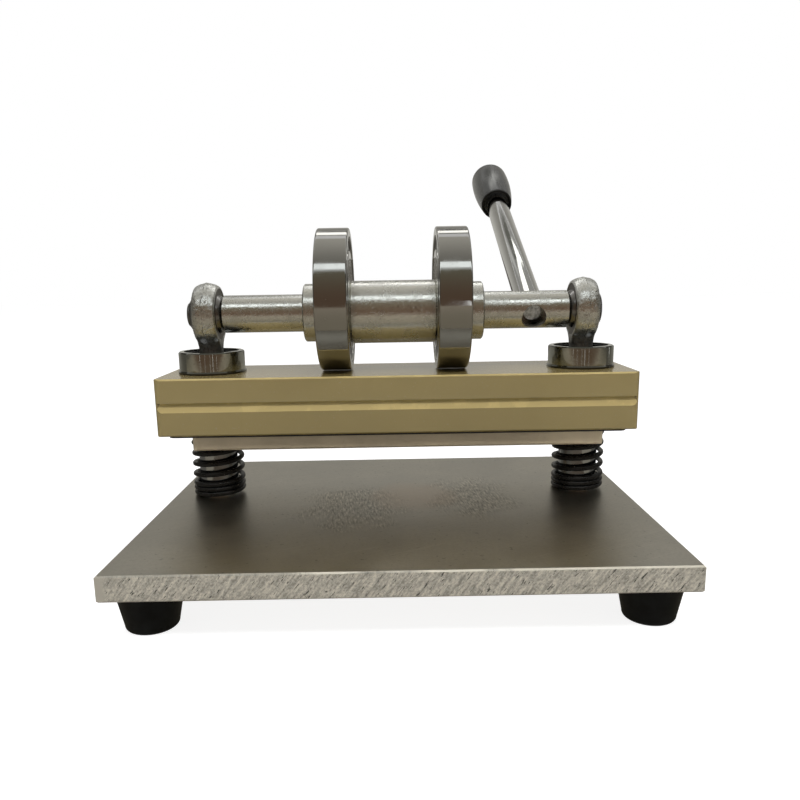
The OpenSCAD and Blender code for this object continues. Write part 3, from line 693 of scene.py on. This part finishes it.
def arc(middle_point, radius, start, end, steps):
    """Points of an arc in a profile, its angles in degrees."""
    points = []
    for step in range(steps + 1):
        angle = math.radians(start + (end - start) * step / steps)
        out, along = middle_point
        points.append((out + radius * math.cos(angle), along + radius * math.sin(angle)))
    return points


def lever_line(sizes):
    """The lever's direction and where it crosses the shaft's middle."""
    lean = sizes.lever_angle
    return Vector((0, math.cos(lean), math.sin(lean))), Vector((LEVER_X, SHAFT.y, SHAFT.z))


def evaluated(piece):
    """A piece's mesh with its modifiers, which are then removed."""
    graph = bpy.context.evaluated_depsgraph_get()
    mesh = bpy.data.meshes.new_from_object(piece.evaluated_get(graph))
    piece.modifiers.clear()
    return mesh


# Geometry Nodes

class Form(Nodes):
    """A Geometry Nodes tree with named inputs."""

    def __init__(self, name, vectors, numbers, counts):
        super().__init__(bpy.data.node_groups.new(name, "GeometryNodeTree"))
        sockets = [("Geometry", "NodeSocketGeometry"), ("Finish", "NodeSocketMaterial")]
        sockets += [(label, "NodeSocketVector") for label in vectors]
        sockets += [(label, "NodeSocketFloat") for label in numbers]
        sockets += [(label, "NodeSocketInt") for label in counts]
        face = self.tree.interface
        self.keys = {}
        for label, kind in sockets:
            self.keys[label] = face.new_socket(label, in_out="INPUT", socket_type=kind).identifier
        face.new_socket("Geometry", in_out="OUTPUT", socket_type="NodeSocketGeometry")
        self.entry = self.tree.nodes.new("NodeGroupInput")
        self.exit = self.tree.nodes.new("NodeGroupOutput")

    def value(self, label):
        return Value(self, self.entry.outputs[label])

    def end(self, shape):
        """Closes the tree: instances made real, then the finish."""
        real = self.node("GeometryNodeRealizeInstances", {0: shape})
        done = self.node("GeometryNodeSetMaterial", {0: real, "Material": self.value("Finish")})
        self.feed(self.exit.inputs[0], done)

    def make(self, name, mesh, values):
        """The tree's shape on a mesh, as a plain mesh."""
        piece = linked(name, mesh)
        modifier = piece.modifiers.new("form", "NODES")
        modifier.node_group = self.tree
        for label, value in values.items():
            modifier[self.keys[label]] = value
        made = evaluated(piece)
        bpy.data.objects.remove(piece)
        return made


def spring_form():
    """A round wire wound with closed turns at its foot and head and open turns between."""
    form = Form(
        "wound_spring", vectors=("Foot",), counts=("Points", "Wire sides"),
        numbers=("Coil radius", "Wire radius", "Low turns", "Open turns", "Closed pitch", "Open pitch",
                 "Start", "Points in a turn"),
    )
    line = form.node("GeometryNodeMeshLine", {"Count": form.value("Points")})
    turn = form.node("GeometryNodeInputIndex") / form.value("Points in a turn")
    opened = (turn - form.value("Low turns")).most(0.0).least(form.value("Open turns"))
    rise = (turn - opened) * form.value("Closed pitch") + opened * form.value("Open pitch")
    angle = form.value("Start") + turn * (2 * math.pi)
    radius = form.value("Coil radius")
    wound = form.joined(radius * angle.cosine(), radius * angle.sine(), rise)
    placed = form.node("ShaderNodeVectorMath", {0: wound, 1: form.value("Foot")}, operation="ADD")
    path = form.node("GeometryNodeSetPosition", {0: line, "Position": placed})
    curve = form.node("GeometryNodeMeshToCurve", {0: path})
    upright = form.node("GeometryNodeSetCurveNormal", {0: curve})
    section = form.node("GeometryNodeCurvePrimitiveCircle", {
        "Resolution": form.value("Wire sides"), "Radius": form.value("Wire radius"),
    })
    wire = form.node("GeometryNodeCurveToMesh", {0: upright, "Profile Curve": section, "Fill Caps": True})
    form.end(wire)
    return form


def screw_form():
    """Screws with hexagon sockets on the points of a mesh, their heads facing down."""
    form = Form(
        "socket_screws", vectors=("Turn",), counts=("Sides",),
        numbers=("Face radius", "Neck radius", "Head height", "Shank radius", "Shank length", "Socket radius",
                 "Socket depth"),
    )
    height = form.value("Head height")
    shank_length = form.value("Shank length")
    head = form.node("GeometryNodeMeshCone", {
        "Vertices": form.value("Sides"), "Radius Top": form.value("Neck radius"),
        "Radius Bottom": form.value("Face radius"), "Depth": height,
    })
    hole = form.node("GeometryNodeMeshCylinder", {
        "Vertices": 6, "Radius": form.value("Socket radius"), "Depth": form.value("Socket depth") * 2,
    })
    sunk = form.node("GeometryNodeMeshBoolean", {"Mesh 1": head, "Mesh 2": hole}, operation="DIFFERENCE")
    shank = form.node("GeometryNodeMeshCylinder", {
        "Vertices": form.value("Sides"), "Radius": form.value("Shank radius"), "Depth": shank_length,
    })
    lifted = form.node("GeometryNodeTransform", {
        0: shank, "Translation": form.joined(0.0, 0.0, height + shank_length / 2),
    })
    screw = form.node("GeometryNodeJoinGeometry", {0: sunk})
    form.feed(screw.socket.node.inputs[0], lifted)
    turned = form.node("FunctionNodeEulerToRotation", {0: form.value("Turn")})
    placed = form.node("GeometryNodeInstanceOnPoints", {
        "Points": form.value("Geometry"), "Instance": screw, "Rotation": turned,
    })
    form.end(placed)
    return form


# Operators

class PRESS_OT_finishes(bpy.types.Operator):
    """Makes the finishes and puts them on the carried over pieces"""

    bl_idname = "press.finishes"
    bl_label = "Finishes"

    def execute(self, context):
        colours = context.scene.press_colours
        for make in (plate_finish, paint_finish, rubber_finish, wire_finish, knob_finish, board_finish,
                     shade_line_sheet_finish, chrome_finish):
            make(colours)
        turned_steel("fastener_steel", colours.fastener, Z_AXIS, rough=0.30, depth=0.02)
        turned_steel("washer_zinc", colours.washer, Z_AXIS, rough=0.34, depth=0.02)
        turned_steel("post_steel", colours.post, Z_AXIS, rough=0.07, depth=0.003, grime=0.12)
        turned_steel("bush_steel", colours.bush, Z_AXIS, rough=0.05, depth=0.003, grime=0.12, marks_and_shade=bush_painted_shade)
        turned_steel("race_liner", colours.liner, X_AXIS, rough=0.30, depth=0.02)
        turned_steel("ball_steel", colours.ball, X_AXIS, rough=0.16, depth=0.004, grime=0.3)
        turned_steel("bearing_steel", colours.bearing, X_AXIS, rough=0.045, depth=0.002, grime=0.05)
        turned_steel("shield_steel", colours.shield, X_AXIS, rough=0.28, depth=0.02)
        plating_finish(
            "shaft_plating", colours.zinc, rough=0.16, grain=1.0, depth=0.085, stain=0.18, marks_and_shade=shaft_soot)
        plating_finish(
            "rod_end_zinc", colours.forged, rough=0.23, grain=1.3, depth=0.25, stain=0.40, marks_and_shade=forged_seam_and_neck_shade)
        for name, nodes in FINISHES.items():
            for node in nodes:
                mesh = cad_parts[node].data
                mesh.materials.clear()
                mesh.materials.append(finish(name))
        return {"FINISHED"}


class PRESS_OT_springs(bpy.types.Operator):
    """Winds the two return springs on the guide posts"""

    bl_idname = "press.springs"
    bl_label = "Springs"

    rings: IntProperty(name="Rings", description="Points in a turn of the wire", default=64)
    facets: IntProperty(name="Facets", description="Sides of the wire", default=20)

    def execute(self, context):
        sizes = context.scene.press_sizes
        form = spring_form()
        turns = sizes.low_turns + sizes.open_turns + sizes.high_turns
        for side in SIDES:
            low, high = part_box("spring_" + side)
            foot = Vector((middle("guide_post_" + side).x, SHAFT.y, low.z + sizes.wire_d / 2))
            rise = high.z - low.z - sizes.wire_d
            closed = (sizes.low_turns + sizes.high_turns) * sizes.closed_pitch
            mesh = form.make("spring", bpy.data.meshes.new("start"), {
                "Foot": foot,
                "Coil radius": (sizes.spring_od - sizes.wire_d) / 2,
                "Wire radius": sizes.wire_d / 2,
                "Low turns": sizes.low_turns,
                "Open turns": sizes.open_turns,
                "Closed pitch": sizes.closed_pitch,
                "Open pitch": (rise - closed) / sizes.open_turns,
                "Start": sizes.spring_start,
                "Points": round(turns * self.rings) + 1,
                "Points in a turn": float(self.rings),
                "Wire sides": self.facets,
                "Finish": finish("spring_wire"),
            })
            piece = new_piece("wound_spring_" + side, mesh, "spring_wire", angle=50)
            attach(piece, "base")
            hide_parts("spring_" + side)
            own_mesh(piece)
        return {"FINISHED"}


class PRESS_OT_rod_ends(bpy.types.Operator):
    """Shapes the forged rod ends as one skin from eye to shank"""

    bl_idname = "press.rod_ends"
    bl_label = "Rod ends"

    relax: IntProperty(name="Relax", description="How often the forged skin is smoothed", default=6)

    def execute(self, context):
        sizes = context.scene.press_sizes
        for side in SIDES:
            node = "rod_end_" + side
            origin = middle("race_insert_" + side)
            low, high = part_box("race_insert_" + side)
            bore = (high.z - low.z) / 2 + 0.03 * MM
            rough = linked("rough", self.rough_shape(sizes, origin, bore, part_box(node)[0].z))
            skin = rough.modifiers.new("skin", "REMESH")
            skin.mode = "VOXEL"
            skin.voxel_size = sizes.forge_cell
            mesh = evaluated(rough)
            bpy.data.objects.remove(rough)
            mesh = self.forged(sizes, mesh, origin, bore)
            piece = new_piece("forged_rod_end_" + side, mesh, "rod_end_zinc", angle=60)
            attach(piece, "base")
            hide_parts(node)
        return {"FINISHED"}

    @staticmethod
    def rough_shape(sizes, origin, bore, foot):
        """Crowned ring, flat sided neck and round shank, still separate."""
        form = bmesh.new()
        half = sizes.eye_w / 2
        crown = sizes.eye_crown
        rim = sizes.eye_d / 2 - sizes.forge_seam
        limit = math.degrees(math.asin(half / crown))
        turn_profile(form, [
            (bore - sizes.forge_cell, -half),
            *arc((rim - crown, 0), crown, -limit, limit, steps=20),
            (bore - sizes.forge_cell, half),
        ], origin, (1, 0, 0), steps=120)
        top_r = sizes.neck_top_d / 2
        foot_r = sizes.neck_foot_d / 2
        wide = -sizes.eye_d / 4
        slim = (POST_TOP - origin.z - sizes.eye_d / 2) / 2
        start = -bore - 0.5 * MM
        levels, sides = 40, 48
        rings = []
        for step in range(levels + 1):
            height = start + (foot - origin.z - start) * step / levels
            share = min(1.0, (wide - height) / (wide - slim))
            radius = top_r + (foot_r - top_r) * (3 - 2 * share) * share ** 2
            ring = []
            for turn in range(sides):
                angle = 2 * math.pi * turn / sides
                across = max(-half, min(half, radius * math.cos(angle)))
                ring.append(form.verts.new(origin + Vector((across, radius * math.sin(angle), height))))
            rings.append(ring)
        for here, there in zip(rings, rings[1:]):
            for turn in range(sides):
                after = (turn + 1) % sides
                form.faces.new((here[turn], here[after], there[after], there[turn]))
        form.faces.new(rings[0])
        form.faces.new(rings[-1])
        return to_mesh("rough", form)

    def forged(self, sizes, mesh, origin, bore):
        """The skin smoothed, bored again, waved and given its seam."""
        form = bmesh.new()
        form.from_mesh(mesh)
        for _ in range(self.relax):
            bmesh.ops.smooth_vert(
                form, verts=form.verts, factor=0.5, use_axis_x=True, use_axis_y=True, use_axis_z=True
            )
        form.normal_update()
        coarse, fine, bend = 420, 1050, 260
        land, rim_start, fade = 0.7 * MM, 2 * MM, 2 * MM
        seam_width, seam_wander = 0.7 * MM, 0.9 * MM
        moves = []
        for vert in form.verts:
            from_eye = vert.co - origin
            flat = math.hypot(from_eye.y, from_eye.z)
            if flat < bore + land:
                moves.append(Vector((0, from_eye.y, from_eye.z)) * (bore / flat - 1))
                continue
            wave = noise.noise(vert.co * coarse) * 0.6 + noise.noise(vert.co * fine) * 0.4
            free = min(1.0, max(0.0, (vert.co.z - POST_TOP) / fade))
            wander = noise.noise(Vector((0.0, from_eye.y, from_eye.z)) * bend) * seam_wander
            seam = math.exp(-((from_eye.x - wander) / seam_width) ** 2) * sizes.forge_seam
            on_rim = min(1.0, max(0.0, (flat - bore - rim_start) / MM))
            moves.append(vert.normal * free * (wave * sizes.forge_skin - sizes.forge_skin + seam * on_rim))
        for vert, move in zip(form.verts, moves):
            vert.co += move
        return to_mesh("forged", form)


class PRESS_OT_lever(bpy.types.Operator):
    """Turns the lever from its tang in the shaft to its stud in the knob"""

    bl_idname = "press.lever"
    bl_label = "Lever"

    def execute(self, context):
        sizes = context.scene.press_sizes
        axis, origin = lever_line(sizes)
        tang = sizes.tang_d / 2
        rod = sizes.lever_d / 2
        stud = sizes.knob_stud_d / 2
        edge, seat, play = 0.8 * MM, 7.5 * MM, 0.5 * MM
        end = -sizes.tang_depth
        tip = sizes.lever_reach + sizes.knob_stud_len - play
        form = bmesh.new()
        turn_profile(form, [
            (0.0, end), *arc((tang - edge, end + edge), edge, -90, 0, steps=5), (tang, seat), (rod, seat),
            *arc((rod - edge, sizes.lever_reach - edge), edge, 0, 90, steps=5), (stud, sizes.lever_reach),
            (stud, tip), (0.0, tip),
        ], origin, axis, steps=96)
        piece = new_piece("turned_lever", to_mesh("lever", form), "lever_chrome", angle=40)
        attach(piece, "shaft")
        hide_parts("lever_rod")
        return {"FINISHED"}


class PRESS_OT_knob(bpy.types.Operator):
    """Turns the lever's knob with its sunk base ring and stud hole"""

    bl_idname = "press.knob"
    bl_label = "Knob"

    steps: IntProperty(name="Steps", description="Points along the knob's outline", default=90)

    def execute(self, context):
        sizes = context.scene.press_sizes
        axis, origin = lever_line(sizes)
        form = bmesh.new()
        turn_profile(form, self.profile(sizes), origin + axis * sizes.lever_reach, axis, steps=128)
        piece = new_piece("turned_knob", to_mesh("knob", form), "knob_plastic", angle=40)
        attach(piece, "shaft")
        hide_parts("lever_knob")
        return {"FINISHED"}

    def profile(self, sizes):
        """Outline from the stud's hole round the base, the swell and the free end."""
        base_r = sizes.knob_base_d / 2
        max_r = sizes.knob_max_d / 2
        swell = max_r - base_r
        swell_r = (sizes.knob_swell_at ** 2 + swell ** 2) / (2 * swell)
        bend = sizes.knob_len - sizes.knob_end_r
        hole = sizes.knob_stud_d / 2 + 0.05 * MM
        points = [
            (0.0, sizes.knob_stud_len), (hole, sizes.knob_stud_len), (hole, sizes.knob_recess),
            (base_r - 2.2 * MM, sizes.knob_recess), (base_r - 1.7 * MM, 0.5 * MM), (base_r - 1.3 * MM, 0.0),
            (base_r - 0.5 * MM, 0.0), (base_r - 0.15 * MM, 0.2 * MM),
        ]
        for step in range(self.steps + 1):
            share = step / self.steps
            along = 0.6 * MM + (sizes.knob_len - 0.6 * MM) * (1 - (1 - share) ** 1.7)
            radius = max_r - swell_r + math.sqrt(swell_r ** 2 - (along - sizes.knob_swell_at) ** 2)
            if along > bend:
                over = min(along - bend, sizes.knob_end_r)
                radius = min(radius, max_r - sizes.knob_end_r + math.sqrt(sizes.knob_end_r ** 2 - over ** 2))
            points.append((radius, along))
        dimple = 2.6 * MM
        points += [
            (dimple + 0.4 * MM, sizes.knob_len), (dimple, sizes.knob_len - 0.5 * MM),
            (0.0, sizes.knob_len - 0.7 * MM),
        ]
        return points


class PRESS_OT_shields(bpy.types.Operator):
    """Turns the pressed shields of the two roller bearings"""

    bl_idname = "press.shields"
    bl_label = "Shields"

    def execute(self, context):
        sizes = context.scene.press_sizes
        step = sizes.shield_step
        thick, chamfer, edge = 0.8 * MM, 0.15 * MM, 0.2 * MM
        rim, rim_foot = 1.3 * MM, 1.9 * MM
        crest, crest_foot, lip = 1.5 * MM, 2.2 * MM, 1.6 * MM
        for side in SIDES:
            node = "shields_" + side
            low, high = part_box(node)
            origin = (low + high) / 2
            outer = (high.z - low.z) / 2
            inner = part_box("inner_ring_" + side)
            inside = (inner[1].z - inner[0].z) / 2 + 0.3 * MM
            face = high.x - origin.x
            back = face - thick
            form = bmesh.new()
            profile = [
                (outer, back), (outer, face - chamfer), (outer - chamfer, face), (outer - rim, face),
                (outer - rim_foot, face - step), (inside + crest_foot, face - step),
                (inside + crest, face - 0.1 * MM), (inside + edge, face), (inside, face - edge),
                (inside, back + edge), (inside + lip, back),
            ]
            for outwards in (1, -1):
                turn_profile(form, profile, origin, (outwards, 0, 0), steps=128)
            piece = new_piece("pressed_" + node, to_mesh(node, form), "shield_steel", angle=30)
            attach(piece, side + "_roller")
            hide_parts(node)
        return {"FINISHED"}


class PRESS_OT_screws(bpy.types.Operator):
    """Sets the socket screws of the pad, the feet and the collars"""

    bl_idname = "press.screws"
    bl_label = "Screws"

    sides: IntProperty(name="Sides", description="Sides of a screw", default=40)

    def execute(self, context):
        form = screw_form()
        self.upright(
            form, "pad_screws", "beam", head=(9.5, 5.0, 2.6), shank=5.0, socket=3.0, columns=(0, 1, 2))
        self.upright(
            form, "foot_screws", "base", head=(11.0, 10.0, 4.0), shank=6.0, socket=4.0, columns=(0, 2))
        low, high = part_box("collar_screws")
        across = (high.z - low.z) / 2
        points = [Vector((x, high.y, (low.z + high.z) / 2)) for x in (low.x + across, high.x - across)]
        deep = high.y - low.y
        self.place(form, "collar_screws", "shaft", points, {
            "Face radius": across, "Neck radius": across, "Head height": deep * 0.7,
            "Shank radius": across * 0.8, "Shank length": deep * 0.3,
            "Socket radius": 1.5 * MM / math.cos(math.pi / 6), "Turn": (math.pi / 2, 0, 0),
        })
        return {"FINISHED"}

    def upright(self, form, node, body, head, shank, socket, columns):
        """Screws in two rows, their heads facing down: face, neck, height and widths in millimetres."""
        low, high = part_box(node)
        face, neck, height = (size * MM for size in head)
        start, end = low.x + face / 2, high.x - face / 2
        points = []
        for column in columns:
            for y in (low.y + face / 2, high.y - face / 2):
                points.append(Vector((start + (end - start) * column / 2, y, low.z)))
        self.place(form, node, body, points, {
            "Face radius": face / 2, "Neck radius": neck / 2, "Head height": height,
            "Shank radius": shank / 2 * MM, "Shank length": high.z - low.z - height,
            "Socket radius": socket / 2 * MM / math.cos(math.pi / 6), "Turn": (0, 0, 0),
        })

    def place(self, form, node, body, points, values):
        """One piece of all the screws of a node."""
        spots = bpy.data.meshes.new("spots")
        spots.from_pydata(points, [], [])
        sizes = bpy.context.scene.press_sizes
        mesh = form.make("screws", spots, {
            **values, "Socket depth": values["Head height"] * sizes.socket_depth, "Sides": self.sides,
            "Finish": finish("fastener_steel"),
        })
        piece = new_piece("socket_" + node, mesh, "fastener_steel", angle=30)
        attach(piece, body)
        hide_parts(node)


# The stage: how far cards hang in the sky, the camera's yaw, pitch and roll in degrees and its place from the
# middle of the plate's top, and its lens and shift as shares of the picture's width
WHITE = (1.0, 1.0, 1.0)
SKY_FAR = 1.1
CAMERA_TURN = (0.26, 11.36, -0.92)
CAMERA_PLACE = Vector((-0.65, -449.54, 138.91)) * MM
FOCAL_SHARE = 726.8 / 800
SHIFT_SHARE = 27.47 / 800


class PRESS_OT_stage(bpy.types.Operator):
    """Sets the floor, the studio light and the camera"""

    bl_idname = "press.stage"
    bl_label = "Stage"

    def execute(self, context):
        self.set_world(context)
        self.set_floor()
        self.set_flags()
        self.set_lamps()
        self.set_camera(context)
        context.scene.view_settings.view_transform = "Standard"
        return {"FINISHED"}

    @staticmethod
    def shown(nodes):
        """One for rays that show the background: camera, gloss and glass."""
        camera = nodes.node("ShaderNodeLightPath", out="Is Camera Ray")
        gloss = nodes.other(camera, "Is Glossy Ray")
        glass = nodes.other(camera, "Is Transmission Ray")
        return camera.most(gloss).most(glass)

    def set_world(self, context):
        """White where it shows, and dimmer as a light."""
        context.scene.world = bpy.data.worlds.new("studio")
        nodes = Shading(context.scene.world, "ShaderNodeOutputWorld")
        dim = 0.32
        nodes.show(nodes.node("ShaderNodeBackground", {
            "Color": WHITE, "Strength": dim + self.shown(nodes) * (1 - dim),
        }))

    def set_floor(self):
        """A pale floor that shows as white but keeps a soft shadow."""
        form = bmesh.new()
        bmesh.ops.create_grid(form, x_segments=8, y_segments=8, size=6.0)
        mesh = to_mesh("floor", form)
        nodes = Shading(bpy.data.materials.new("floor"))
        matt = nodes.node("ShaderNodeBsdfDiffuse", {"Color": shade(WHITE, 0.92)})
        glow = nodes.node("ShaderNodeEmission", {"Color": WHITE, "Strength": 1.6})
        glow_share = self.shown(nodes) * 0.54
        mixed = nodes.node("ShaderNodeMixShader", {0: glow_share, 1: matt, 2: glow})
        mesh.materials.append(nodes.show(mixed))
        floor = linked("floor", mesh)

    @staticmethod
    def flag(name, corners, tone, far_tone=None):
        """A flat card that only polished surfaces show, its tone running from first to last corner."""
        mesh = bpy.data.meshes.new(name)
        mesh.from_pydata(corners, [], [tuple(range(len(corners)))])
        nodes = Shading(bpy.data.materials.new(name))
        run = [abs(end - start) for start, end in zip(corners[0], corners[-1])]
        along = run.index(max(run))
        place = nodes.parts(nodes.node("ShaderNodeTexCoord", out="Object"))[along]
        share = nodes.fit(place, corners[0][along], corners[-1][along])
        glow = nodes.node("ShaderNodeEmission", {
            "Color": nodes.blend(share, tone, far_tone or tone), "Strength": 1.0,
        })
        mesh.materials.append(nodes.show(glow))
        card = linked(name, mesh)
        card.visible_camera = False
        card.visible_diffuse = False
        card.visible_shadow = False
        card.visible_volume_scatter = False

    def wall(self, name, x, y, z, tone, far_tone=None):
        """An upright card between two places, its tone running upwards."""
        self.flag(name, (
            (x[0], y[0], z[0]), (x[1], y[1], z[0]), (x[1], y[1], z[1]), (x[0], y[0], z[1])), tone, far_tone)

    def sheet(self, name, x, y, z, tone, far_tone=None):
        """A card between two heights at its front and its back, its tone running backwards."""
        self.flag(name, (
            (x[0], y[0], z[0]), (x[1], y[0], z[0]), (x[1], y[1], z[1]), (x[0], y[1], z[1])), tone, far_tone)

    def sky(self, name, corners, tone):
        """A card in the sky behind the lever, its corners given as bearing and height in degrees."""
        axis, origin = lever_line(bpy.context.scene.press_sizes)
        eye = origin + axis * 0.12
        places = []
        for bearing, height in corners:
            aside, above = math.radians(bearing), math.radians(height)
            level = math.cos(above)
            places.append(tuple(eye + SKY_FAR * Vector((
                math.sin(aside) * level, math.cos(aside) * level, math.sin(above)))))
        self.flag(name, places, tone)

    def set_flags(self):
        """Cards round the press: dark walls and table, slits in the front wall and bright strips above."""
        near, far = -0.95, 1.3
        wide = (-1.4, 1.4)
        broad = (-2.2, 2.2)
        strip = (-1.1, 1.1)
        front = (near, near)
        brown = (0.150, 0.100, 0.068)
        olive = (0.200, 0.185, 0.135)
        dun = (0.30, 0.29, 0.26)
        dusk = (0.13, 0.12, 0.10)
        sill = (0, 0.12)
        self.wall("front_flag", wide, front, (sill[1], 1.22), brown, olive)
        start = wide[0]
        for slit, width in ((-0.62, 0.012), (-0.30, 0.006), (-0.02, 0.005), (0.127, 0.014), (0.36, 0.006)):
            self.wall("front_low_flag", (start, slit), front, sill, brown)
            start = slit + width
        self.wall("front_low_flag", (start, wide[1]), front, sill, brown)
        glow = near + 0.01
        self.wall("strip_glow", strip, (glow, glow), (1.02, 1.215), olive, (0.85, 0.88, 0.88))
        self.sheet("strip_card", strip, (-1.080, -0.859), (1.370, 1.542), (1.80, 1.90, 1.92))
        self.sheet("ceiling_flag", (-2.4, 2.4), (-1.15, 0.74), (2.0, 2.0), dun, (0.62, 0.60, 0.54))
        self.wall("back_low_flag", broad, (1.29, 1.29), (0, 0.23), (0.12, 0.11, 0.095))
        self.wall("back_flag", broad, (far, far), (0.2, 1.2), (0.52, 0.51, 0.47), dun)
        self.wall("back_high_flag", broad, (1.25, 1.25), (1.2, 2.2), (0.36, 0.355, 0.335))
        self.sheet("roller_card", (-0.10, 0.075), (0.159, 0.127), (0.421, 0.449), (2.4, 2.35, 2.25))
        self.sky("lever_card", (
            (6.0, 47.2), (26.5, 41.8), (24, 44), (11.8, 51.3),
            (11.8, 57), (-25, 57), (-25, 51.6), (1.2, 51.3)),
            (2.4, 2.4, 2.28))
        self.sky("lever_flag", (
            (-13, 42), (5.5, 42), (5.5, 47.2), (1.0, 51.1), (-13, 51.4)), (0.16, 0.16, 0.14))
        self.sky("lever_side_card", ((-25, 38), (-18, 38), (-18, 48), (-25, 48)), (0.60, 0.60, 0.57))
        left, right = ((side, side) for side in wide)
        height = (0, 1.3)
        self.wall("left_flag", left, (near, far), height, (0.12, 0.115, 0.10))
        self.wall("right_flag_front", right, (near, 0.21), height, (0.11, 0.105, 0.09))
        self.wall("right_flag_back", right, (0.27, far), height, (0.14, 0.135, 0.12))
        table = (0.001, 0.001)
        self.sheet("table_flag", wide, (near, -0.12), table, (0.40, 0.35, 0.28), (0.28, 0.25, 0.19))
        self.sheet("table_back_flag", wide, (-0.12, far), table, dusk, dun)

    @staticmethod
    def lamp(name, place, aim, width, depth, power):
        """A soft lamp that polished surfaces do not show."""
        light = bpy.data.lights.new(name, "AREA")
        light.shape = "RECTANGLE"
        light.size = width
        light.size_y = depth
        light.energy = power
        lamp = linked(name, light)
        lamp.location = place
        lamp.rotation_euler = (Vector(aim) - Vector(place)).to_track_quat("-Z", "Y").to_euler()
        lamp.visible_glossy = False
        lamp.visible_camera = False

    def set_lamps(self):
        self.lamp("strip_lamp", (0.0, -0.95, 1.48), SHAFT, width=2.2, depth=0.22, power=16.0)
        self.lamp("top_lamp", (0.0, 0.05, 1.7), (0, -0.05, 0), width=1.6, depth=1.2, power=5.0)
        self.lamp("back_lamp", (0.0, 1.3, 1.1), SHAFT, width=2.0, depth=0.6, power=6.0)

    @staticmethod
    def set_camera(context):
        """The camera in front of the press."""
        yaw, pitch, roll = (math.radians(angle) for angle in CAMERA_TURN)
        ahead = Vector((math.sin(yaw) * math.cos(pitch), math.cos(yaw) * math.cos(pitch), -math.sin(pitch)))
        level = Vector((math.cos(yaw), -math.sin(yaw), 0))
        above = level.cross(ahead)
        right = level * math.cos(roll) + above * math.sin(roll)
        up = above * math.cos(roll) - level * math.sin(roll)
        view = bpy.data.cameras.new("photo_view")
        view.sensor_width = 36.0
        view.lens = FOCAL_SHARE * view.sensor_width
        view.shift_y = SHIFT_SHARE
        camera = linked("photo_view", view)
        stand = Vector((PLATE_MIDDLE.x, PLATE_MIDDLE.y, PLATE_TOP))
        place = Matrix((right, up, -ahead)).transposed().to_4x4()
        place.translation = stand + CAMERA_PLACE
        camera.matrix_world = place
        context.scene.camera = camera


OPERATORS = (
    PRESS_OT_finishes, PRESS_OT_springs, PRESS_OT_rod_ends, PRESS_OT_lever, PRESS_OT_knob, PRESS_OT_shields,
    PRESS_OT_screws, PRESS_OT_stage,
)


class PRESS_PT_panel(bpy.types.Panel):
    """Lists the press's pieces, sizes and colours"""

    bl_idname = "PRESS_PT_panel"
    bl_label = "Die cutting press"
    bl_space_type = "VIEW_3D"
    bl_region_type = "UI"
    bl_category = "Press"

    def draw(self, context):
        for operator in OPERATORS:
            self.layout.operator(operator.bl_idname)
        for group in (context.scene.press_sizes, context.scene.press_colours):
            column = self.layout.column()
            for name in group.bl_rna.properties.keys():
                if name not in ("rna_type", "name"):
                    column.prop(group, name)


CLASSES = (PressSizes, PressColours, *OPERATORS, PRESS_PT_panel)


def register():
    for cls in CLASSES:
        bpy.utils.register_class(cls)
    bpy.types.Scene.press_sizes = PointerProperty(type=PressSizes)
    bpy.types.Scene.press_colours = PointerProperty(type=PressColours)


def unregister():
    del bpy.types.Scene.press_colours
    del bpy.types.Scene.press_sizes
    for cls in reversed(CLASSES):
        bpy.utils.unregister_class(cls)


def main():
    register()
    bpy.ops.press.finishes()
    bpy.ops.press.springs()
    bpy.ops.press.rod_ends()
    bpy.ops.press.lever()
    bpy.ops.press.knob()
    bpy.ops.press.shields()
    bpy.ops.press.screws()
    bpy.ops.press.stage()


if __name__ == "__main__":
    main()
